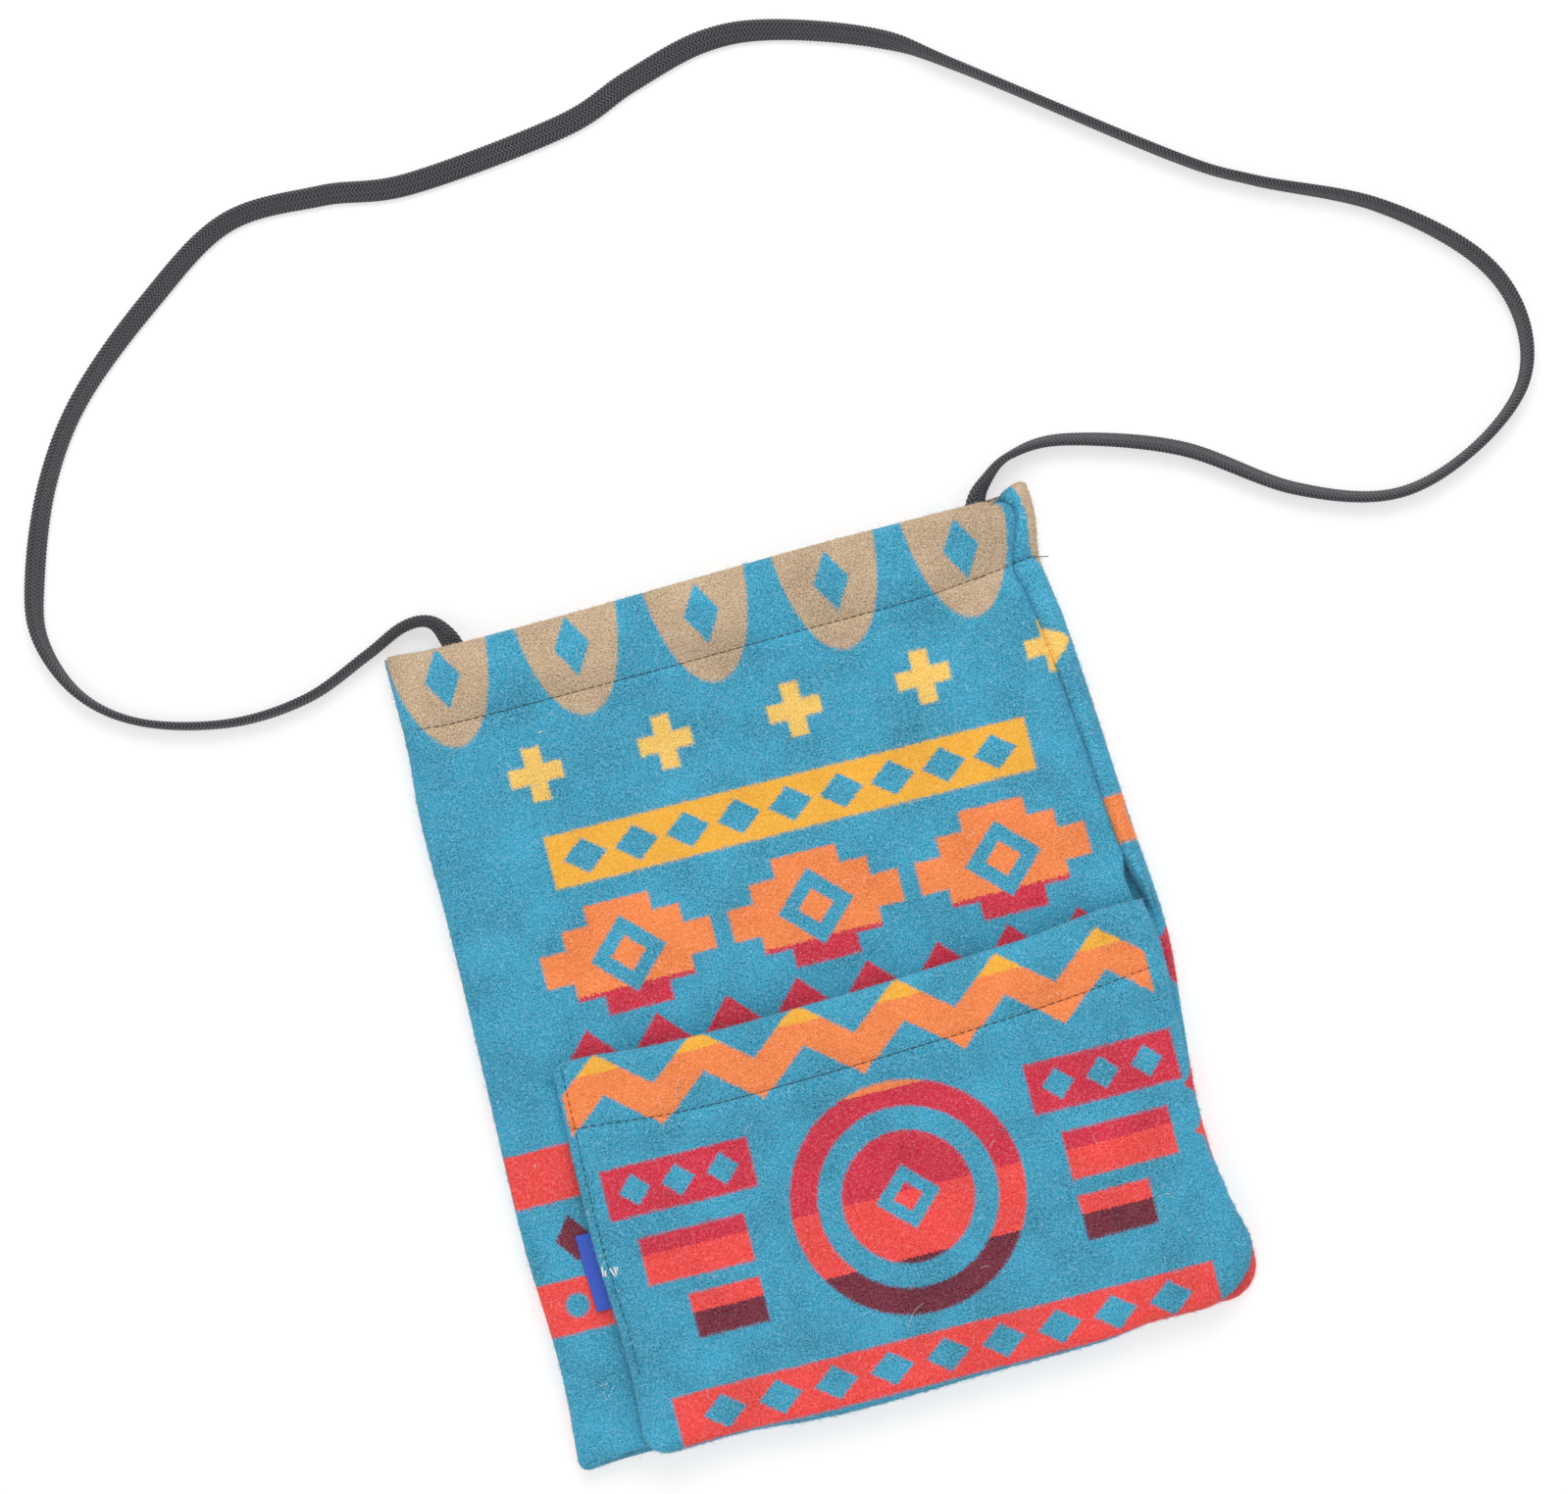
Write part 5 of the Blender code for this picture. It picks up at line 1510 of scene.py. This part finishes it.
class TOTE_OT_stage(bpy.types.Operator):
    """Lays white paper under the bag, lights it softly and looks straight down on it"""

    bl_idname = "tote.stage"
    bl_label = "Stage"

    def execute(self, context):
        scene = context.scene
        scene.view_settings.view_transform = "Standard"
        self.add_floor()
        self.add_light()
        self.add_camera(scene)
        return {"FINISHED"}

    def add_floor(self):
        """White paper that the bag lies on.

        The camera and reflections see a greyer paper that glows, so its shadows stay as faint as a studio's.
        """
        bm = bmesh.new()
        bmesh.ops.create_grid(bm, x_segments=1, y_segments=1, size=FLOOR_SIZE)
        bmesh.ops.translate(bm, verts=bm.verts, vec=(0, 0, -FLOOR_DROP))
        floor = add_object("floor", bm)
        made, tree, shader = start_material("Matt white paper")
        rays = add(tree, "LightPath").outputs
        seen = rays["Is Camera Ray"]
        for kind in ("Is Glossy Ray", "Is Transmission Ray"):
            seen = add(tree, "Math", {0: seen, 1: rays[kind]}, operation="ADD", use_clamp=True)
        paper = (*bpy.context.scene.tote_colours.floor, 1)
        greyed = add(tree, "Mix", {0: seen, 6: paper, 7: (*linear(FLOOR_SEEN), 1)}, data_type="RGBA")
        glow = add(tree, "Math", {0: seen, 1: FLOOR_GLOW}, operation="MULTIPLY")
        fill(tree, shader, {
            "Base Color": greyed.outputs[2], "Roughness": 0.9, "Specular IOR Level": 0.2,
            "Emission Color": (1, 1, 1, 1), "Emission Strength": glow,
        })
        floor.data.materials.append(made)

    def add_light(self):
        """A white room and two soft lamps."""
        world = bpy.data.worlds.new("Soft white room")
        world.use_nodes = True
        back = world.node_tree.nodes["Background"]
        fill(world.node_tree, back, {"Color": (1, 1, 1, 1), "Strength": ROOM_LIGHT})
        bpy.context.scene.world = world
        for name, place, power, size in LAMPS:
            lamp = bpy.data.lights.new(name, "AREA")
            lamp.energy = power
            lamp.size = size
            obj = bpy.data.objects.new(name, lamp)
            obj.location = place
            aim = Vector(LAMPS_AIM) - obj.location
            obj.rotation_euler = aim.to_track_quat("-Z", "Y").to_euler()
            bpy.context.scene.collection.objects.link(obj)

    def add_camera(self, scene):
        """The camera, in the place that the photograph was taken from."""
        camera = bpy.data.cameras.new("camera")
        camera.lens = CAMERA_LENS
        camera.sensor_width = CAMERA_SENSOR
        obj = bpy.data.objects.new("camera", camera)
        obj.location = CAMERA_PLACE
        obj.rotation_euler = (0, 0, math.radians(CAMERA_TURN))
        scene.collection.objects.link(obj)
        scene.camera = obj


# How flat a rib's crown is (1 is a plain sine), and the height on it that keeps the braid's own surface
RIB_POWER = 0.7
RIB_MIDDLE = 0.6


class TOTE_OT_strap(bpy.types.Operator):
    """Makes the flat braided strap, which runs loose from one side of the mouth to the other"""

    bl_idname = "tote.strap"
    bl_label = "Strap"

    # The points round the braid, and the distance from one ring of them to the next
    around = 20
    step = 0.29 * MM

    def outline(self, sizes):
        """The braid's cross section: (across, up, outward across, outward up) evenly spaced round it."""
        thick = sizes.braid_thickness / 2
        flat = sizes.braid_width / 2 - thick
        whole = 4 * flat + 2 * math.pi * thick
        spots = []
        for n in range(self.around):
            at = n / self.around * whole
            # The top, the round edge at its end, the underside and the other round edge, one after another
            for side in (1, -1):
                if at < 2 * flat:
                    spots.append((side * (flat - at), side * thick, 0, side))
                    break
                at -= 2 * flat
                if at < math.pi * thick or side == -1:
                    angle = side * math.pi / 2 + at / thick
                    out, up = math.cos(angle), math.sin(angle)
                    spots.append((thick * out - side * flat, thick * up, out, up))
                    break
                at -= math.pi * thick
        return np.array(spots)

    def execute(self, context):
        sizes = context.scene.tote_sizes
        line, at = strap_line(self.step)
        places, rolls = line[:, :3], line[:, 3]
        ahead = np.gradient(places, axis=0)
        ahead /= np.linalg.norm(ahead, axis=1)[:, None]
        side = np.cross(ahead, (0, 0, 1))
        side /= np.linalg.norm(side, axis=1)[:, None]
        up = np.cross(side, ahead)
        across = side * np.cos(rolls)[:, None] + up * np.sin(rolls)[:, None]
        out = np.cross(across, ahead)
        shape = self.outline(sizes)
        lane = np.arange(self.around) / self.around * BRAID_LANES
        swing = 1 - np.abs(lane % 2 - 1)
        phase = at[:, None] / sizes.braid_rib + BRAID_SLANT * swing[None, :]
        rib = np.abs(np.sin(np.pi * phase)) ** RIB_POWER
        lift = (rib - RIB_MIDDLE) * sizes.braid_relief
        wide = shape[None, :, 0] + shape[None, :, 2] * lift
        tall = shape[None, :, 1] + shape[None, :, 3] * lift
        rings = places[:, None] + across[:, None] * wide[:, :, None] + out[:, None] * tall[:, :, None]
        rings[0] = places[0]
        rings[-1] = places[-1]

        def point(i, j):
            """A place on the braid, and its place in the ribs and lanes."""
            return rings[j, i % self.around], (at[j] / sizes.braid_rib, i / self.around * BRAID_LANES)

        bm, _ = bent_grid(self.around, len(at) - 1, point)
        bmesh.ops.remove_doubles(bm, verts=bm.verts, dist=MERGE)
        bmesh.ops.recalc_face_normals(bm, faces=bm.faces)
        strap = add_object("strap_braid", bm)
        dress(strap, braid_material(), "braid", "strap")
        tacks = [self.tack("left", places[0]), self.tack("right", places[-1])]
        return {"FINISHED"}

    def tack(self, side, place):
        """A short zigzag of stitches that holds an end of the strap."""
        sizes = bpy.context.scene.tote_sizes
        middle = Vector(place) + Vector((0, STRAP_TACK_INSET, sizes.braid_thickness / 2 + sizes.thread))
        reach = sizes.braid_width / 2 - sizes.thread
        points = []
        for n, across in enumerate(spread(-reach, reach, STRAP_TACK_TURNS)):
            swing = STRAP_TACK_SWING * (1 if n % 2 else -1)
            points.append(middle + Vector((across, swing, 0)))
        return sew_dark(f"strap_stitches_{side}", points, f"{side} end", f"strap_tack_{side}")


class TOTE_OT_panels(bpy.types.Operator):
    """Makes the front, the back and the pocket of felted wool, each a folded, hemmed sheet, with its nap"""

    bl_idname = "tote.panels"
    bl_label = "Panels"

    def execute(self, context):
        sizes = context.scene.tote_sizes
        left, right = -BAG_WIDTH / 2, BAG_WIDTH / 2
        hem = (HEM_DEPTH, HEM_STITCH_LINE)
        pocket_hem = (POCKET_HEM_DEPTH, POCKET_STITCH_LINE)
        radii = (LEFT_CORNER_RADIUS, FRONT_RIGHT_CORNER_RADIUS)
        front = FrontPanel("front_wool", left, bag_top, radii, hem)
        back = BackPanel("back_wool", left, bag_top, (LEFT_CORNER_RADIUS, BACK_RIGHT_CORNER_RADIUS), hem)
        radii = (POCKET_CORNER_RADIUS, FRONT_RIGHT_CORNER_RADIUS)
        pocket = Pocket("pocket_wool", POCKET_LEFT, pocket_top, radii, pocket_hem)
        cloth = 2 * SEAM_ALLOWANCE
        bag_cut = (BAG_WIDTH + cloth, BAG_HEIGHT + SEAM_ALLOWANCE + HEM_DEPTH)
        pocket_drop = pocket_top(0) + BAG_HEIGHT / 2
        pocket_cut = (right - POCKET_LEFT + cloth, pocket_drop + SEAM_ALLOWANCE + POCKET_HEM_DEPTH)
        for panel, node, bands, motifs, count, covered, cut, rests_on in (
            (front, "front_panel", FRONT_BANDS, FRONT_MOTIFS, sizes.front_fibres, self.under_pocket, bag_cut,
             ["back_wool"]),
            (back, "back_panel", BACK_BANDS, BACK_MOTIFS, sizes.back_fibres, None, bag_cut, []),
            (pocket, "pocket", POCKET_BANDS, POCKET_MOTIFS, sizes.pocket_fibres, None, pocket_cut,
             ["front_wool"]),
        ):
            name = node.partition("_")[0]
            slot = f"{name}_wool"
            made = wool_material(f"Felted jacquard wool, {name}", bands, motifs)
            obj = panel.build(made, slot, node)
            nap = lay_fibres(f"{name}_nap", panel.roots, count, len(name), covered)
            nap_made = wool_material(f"Felted wool fibres, {name}", bands, motifs, fibres=True)
            dress(nap, nap_made, slot)
        return {"FINISHED"}

    def under_pocket(self, x, y, z):
        """Whether a spot of the front lies well under the pocket."""
        x, y = x - SHIFT.x, y - SHIFT.y
        return x > POCKET_LEFT + WOOL and y < POCKET_TOP(x) - 3 * WOOL and y > -BAG_HEIGHT / 2 + WOOL


# The label's grid along and across it, and how far its free lower corner lifts
LABEL_ROWS = 44
LABEL_STEPS = 20
LABEL_CURL = 0.5 * MM


class TOTE_OT_label(bpy.types.Operator):
    """Folds the bare woven label in two under the pocket's left edge"""

    bl_idname = "tote.label"
    bl_label = "Label"

    def execute(self, context):
        steps = LABEL_STEPS
        fold = LABEL_FOLD_RADIUS - LABEL_SHOWS
        profile = [(mix(LABEL_TUCK, fold, n / steps), -1.0) for n in range(steps)]
        for degrees in spread(-90, 90, FOLD_STEPS):
            angle = math.radians(degrees)
            profile.append((-LABEL_SHOWS + LABEL_FOLD_RADIUS * (1 - math.cos(angle)), math.sin(angle)))
        profile += [(out, 1.0) for out, _ in reversed(profile[:steps])]

        def point(i, j):
            """A place on the folded ribbon's middle, and its place in the flat ribbon."""
            up = j / LABEL_ROWS
            out, turn = profile[i]
            x, y = POCKET_LEFT + out, LABEL_TOP - LABEL_LENGTH * (1 - up)
            middle = front_height(x, y) + WOOL / 2 + LABEL_CLEARANCE + LABEL_FOLD_RADIUS + LABEL_CLOTH / 2
            curl = LABEL_CURL * smooth(-out / LABEL_SHOWS) * (1 - smooth(2 * up))
            return settled(x, y, middle + turn * LABEL_FOLD_RADIUS + curl), (out * turn, y)

        bm, _ = bent_grid(len(profile) - 1, LABEL_ROWS, point)
        obj = add_object("label_ribbon", bm)
        ribbon = obj.modifiers.new("Ribbon", "SOLIDIFY")
        ribbon.thickness = LABEL_CLOTH
        ribbon.offset = 0
        obj = finished(obj)
        dress(obj, ribbon_material(), "ribbon", "label")
        return {"FINISHED"}


class TOTE_OT_threads(bpy.types.Operator):
    """Sews the hems and the pocket's side in dark thread, and the tack beside the label in white"""

    bl_idname = "tote.threads"
    bl_label = "Threads"

    def execute(self, context):
        left, right = -BAG_WIDTH / 2, BAG_WIDTH / 2
        spots = [(x, hem_line(x)) for x in spread(left + STITCH_INSET, right - STITCH_INSET / 2, 80)]
        self.sew("front_hem", spots, face_height, tail=self.tail(spots[-1]))
        line = BAG_HEIGHT / 2 - HEM_STITCH_LINE
        spots = [(x, line) for x in spread(left + FIRST_INSIDE, right - 2 * FIRST_INSIDE, 40)]
        self.sew("back_hem", spots, back_hem_height, INNER_STITCH)
        x = POCKET_LEFT + POCKET_SIDE_STITCH
        seam = right - strip(-POCKET_STITCH_LINE) - STITCH_INSET - WOOL / 2
        spots = [(x, pocket_top(x) - POCKET_STITCH_LINE) for x in spread(x, seam, 60)]
        self.sew("pocket_hem", spots, pocket_height)
        x += WOOL / 2
        spots = [(x, y) for y in spread(-BAG_HEIGHT / 2 + 2 * FIRST_INSIDE, pocket_top(x) - WOOL, 40)]
        self.sew("pocket_side", spots, pocket_height)
        self.add_tack()
        return {"FINISHED"}

    def sew(self, name, spots, height, held=FACE_STITCH, tail=()):
        """A line of stitches through spots on the wool at a height, with a tail of points after the last."""
        points = [*stitch_line(spots, height, *held), *tail]
        sew_dark(f"{name}_stitches", points, name, f"{name}_thread")

    def tail(self, spot):
        """The loose end of the front hem's thread, past the right edge."""
        x, y = spot
        start = settled(x, y, face_height(x, y) + WOOL / 2 + FACE_STITCH[1])
        points = []
        for n in range(THREAD_TAIL_STEPS):
            t = (n + 1) / THREAD_TAIL_STEPS
            points.append(start + Vector((THREAD_TAIL * t, -THREAD_TAIL_DROP * t, -THREAD_TAIL_DROP * t * t)))
        return points

    def add_tack(self):
        """Short white stitches in a row beside the label, each a low arch between two holes."""
        strokes = []
        for inwards, up, length, lean in TACK_STROKES:
            points = []
            for k in range(9):
                t = k / 8
                at_x = POCKET_LEFT + (inwards + lean * (t - 0.5)) * MM
                at_y = TACK_HEIGHT + (up + length * (t - 0.5)) * MM
                arch = math.sin(math.pi * t) ** TACK_ARCH
                height = pocket_height(at_x, at_y) + WOOL / 2 + mix(-TACK_SINK, TACK_LIFT, arch)
                points.append(settled(at_x, at_y, height))
            strokes.append(points)
        piece = tube("label_tack_stitches", strokes, WHITE_THREAD)
        made = thread_material("Polyester thread, white", bpy.context.scene.tote_colours.white_thread)
        dress(piece, made, "white_thread", "label_tack_thread")


# Lint, hairs and pills on the wool as (x, y, heading in degrees, length, thickness, bend), lengths in mm
LINT = [
    (-70.1, 101.1, 16, 1.6, 0.5, 0.2), (-20.7, 121.5, -9, 5, 0.22, 0.5),
    (-83.2, 93, -59, 3.4, 0.14, 0.5), (88.1, 130.2, 46, 2, 0.25, 0.4), (93.1, 117.8, -4, 1.8, 0.25, 0.3),
    (81.3, 92.3, -54, 3, 0.14, 0.4), (70, 81.1, -84, 2.4, 0.14, 0.3), (57.7, 81.5, 6, 2, 0.14, 0.3),
    (93.3, -97.1, -14, 1, 0.4, 0.1), (-76.2, 84.6, 26, 1, 0.3, 0.1), (2.8, -115.8, 48, 10, 0.12, 1.2),
    (-93.4, -56.2, 66, 1.6, 0.3, 0.2), (-93.2, -71.3, 6, 1.4, 0.3, 0.2),
    (-92.5, -73.9, 56, 1.2, 0.3, 0.2), (-103.6, -113.6, -4, 0.7, 0.3, 0.1),
    (-101.9, -113.4, 36, 0.6, 0.3, 0.1), (-100.3, -115.2, -34, 0.8, 0.25, 0.1),
    (-103.5, -116, 76, 0.7, 0.25, 0.1), (-101.9, -117.4, 16, 0.7, 0.3, 0.1),
    (-103.4, -118.1, -74, 0.6, 0.25, 0.1), (-18.9, -33.2, 61, 3.5, 0.14, 0.6),
    (-57.7, -87.1, -4, 2.6, 0.14, 0.5),
    (-83.5, 130, 76, 3, 0.12, 0.3), (-68.3, 120.1, 61, 2.2, 0.12, 0.3),
    (-51.4, 123.2, 81, 3.4, 0.12, 0.4), (-49.2, 110.6, 46, 2.6, 0.12, 0.3),
    (-34.4, 118.9, 66, 2.2, 0.12, 0.3), (-26.8, 114.3, 86, 3.8, 0.12, 0.4),
    (-18, 106.7, 71, 3, 0.12, 0.3), (-65.2, 105.9, 6, 2.4, 0.12, 0.4), (5, 118.3, 56, 2.6, 0.12, 0.3),
    (39.6, 119.6, 96, 2.8, 0.12, 0.3), (50.7, 106.8, 26, 2.4, 0.12, 0.3),
    (-54.2, -22.9, 66, 6.5, 0.14, 0.8), (-61, -25.9, 81, 5, 0.12, 0.5), (-35.6, -42.3, 46, 3, 0.12, 0.4),
    (41.3, -66.8, 36, 3, 0.12, 0.4), (74.5, -73.6, 106, 3.2, 0.12, 0.5),
    (-8.7, -127.9, 16, 3.4, 0.12, 0.5), (-69.8, -124.2, 86, 3, 0.12, 0.4),
    (15.8, 28.4, 16, 2.6, 0.12, 0.4), (-58.3, 27.1, 86, 2.8, 0.12, 0.4),
    (60.8, 33.8, 56, 2.4, 0.12, 0.3), (-113, -83.1, 76, 3, 0.12, 0.4),
    (-107.2, -37.7, 56, 1.2, 0.25, 0.2), (28.8, -105.6, 1, 2.6, 0.12, 0.3),
]


LINT_COLOUR = 0xDCE2E4
LINT_STEPS = 8
# How much a hair sways beside its bend, how often, and how high its middle lies, as a share of its thickness
LINT_SWAY = 0.12
LINT_WAVES = 9
LINT_SITS = 0.4
# The height that the search for the wool under a hair starts from
ABOVE_ALL = 0.1


class TOTE_OT_lint(bpy.types.Operator):
    """Lays the pale lint, hairs and pills that cling to the wool"""

    bl_idname = "tote.lint"
    bl_label = "Lint"

    def execute(self, context):
        sizes = {}
        graph = context.evaluated_depsgraph_get()
        for x, y, heading, length, thickness, bend in LINT:
            ahead = Vector((math.cos(math.radians(heading)), math.sin(math.radians(heading))))
            points = []
            for n in range(LINT_STEPS + 1):
                t = n / LINT_STEPS - 0.5
                sway = bend * math.sin(math.pi * (t + 0.5)) + LINT_SWAY * bend * math.sin(LINT_WAVES * t)
                spot = Vector((x, y)) + ahead * length * t + Vector((-ahead.y, ahead.x)) * sway
                above = Vector((spot.x * MM, spot.y * MM, ABOVE_ALL))
                hit, place, _, _, _, _ = context.scene.ray_cast(graph, above, Vector((0, 0, -1)))
                if not hit:
                    raise RuntimeError(f"no wool under the lint at {x}, {y}")
                points.append(place + Vector((0, 0, thickness * MM * LINT_SITS)))
            sizes.setdefault(thickness, []).append(points)
        for n, (thickness, lines) in enumerate(sorted(sizes.items())):
            piece = tube(f"lint_{n + 1}", lines, thickness * MM, 1)
            made, tree, shader = start_material(f"Cotton lint, white, {n + 1}")
            fill(tree, shader, {"Base Color": (*linear(LINT_COLOUR), 1), "Roughness": 0.9})
            dress(piece, made, "white_thread")
        return {"FINISHED"}


class TOTE_PT_panel(bpy.types.Panel):
    """Lists the tote bag's operators and sizes"""

    bl_idname = "TOTE_PT_panel"
    bl_label = "Tote bag"
    bl_space_type = "VIEW_3D"
    bl_region_type = "UI"
    bl_category = "Tote bag"

    def draw(self, context):
        """Shows a button for each operator and a field for each size and colour."""
        for operator in OPERATORS:
            self.layout.operator(operator.bl_idname)
        for group in (context.scene.tote_sizes, context.scene.tote_colours):
            column = self.layout.column()
            for name in group.bl_rna.properties.keys():
                if name not in ("rna_type", "name"):
                    column.prop(group, name)


OPERATORS = (TOTE_OT_stage, TOTE_OT_strap, TOTE_OT_panels, TOTE_OT_label, TOTE_OT_threads, TOTE_OT_lint)
CLASSES = (ToteSizes, ToteColours, *OPERATORS, TOTE_PT_panel)


def register():
    """Makes the operators, the panel and the settings known to Blender."""
    for made in CLASSES:
        bpy.utils.register_class(made)
    bpy.types.Scene.tote_sizes = PointerProperty(type=ToteSizes)
    bpy.types.Scene.tote_colours = PointerProperty(type=ToteColours)


def unregister():
    """Takes back what register did."""
    del bpy.types.Scene.tote_colours
    del bpy.types.Scene.tote_sizes
    for made in reversed(CLASSES):
        bpy.utils.unregister_class(made)


def main():
    """Makes every piece around the frame."""
    register()
    bpy.ops.tote.stage()
    bpy.ops.tote.strap()
    bpy.ops.tote.panels()
    bpy.ops.tote.label()
    bpy.ops.tote.threads()
    bpy.ops.tote.lint()


if __name__ == "__main__":
    main()
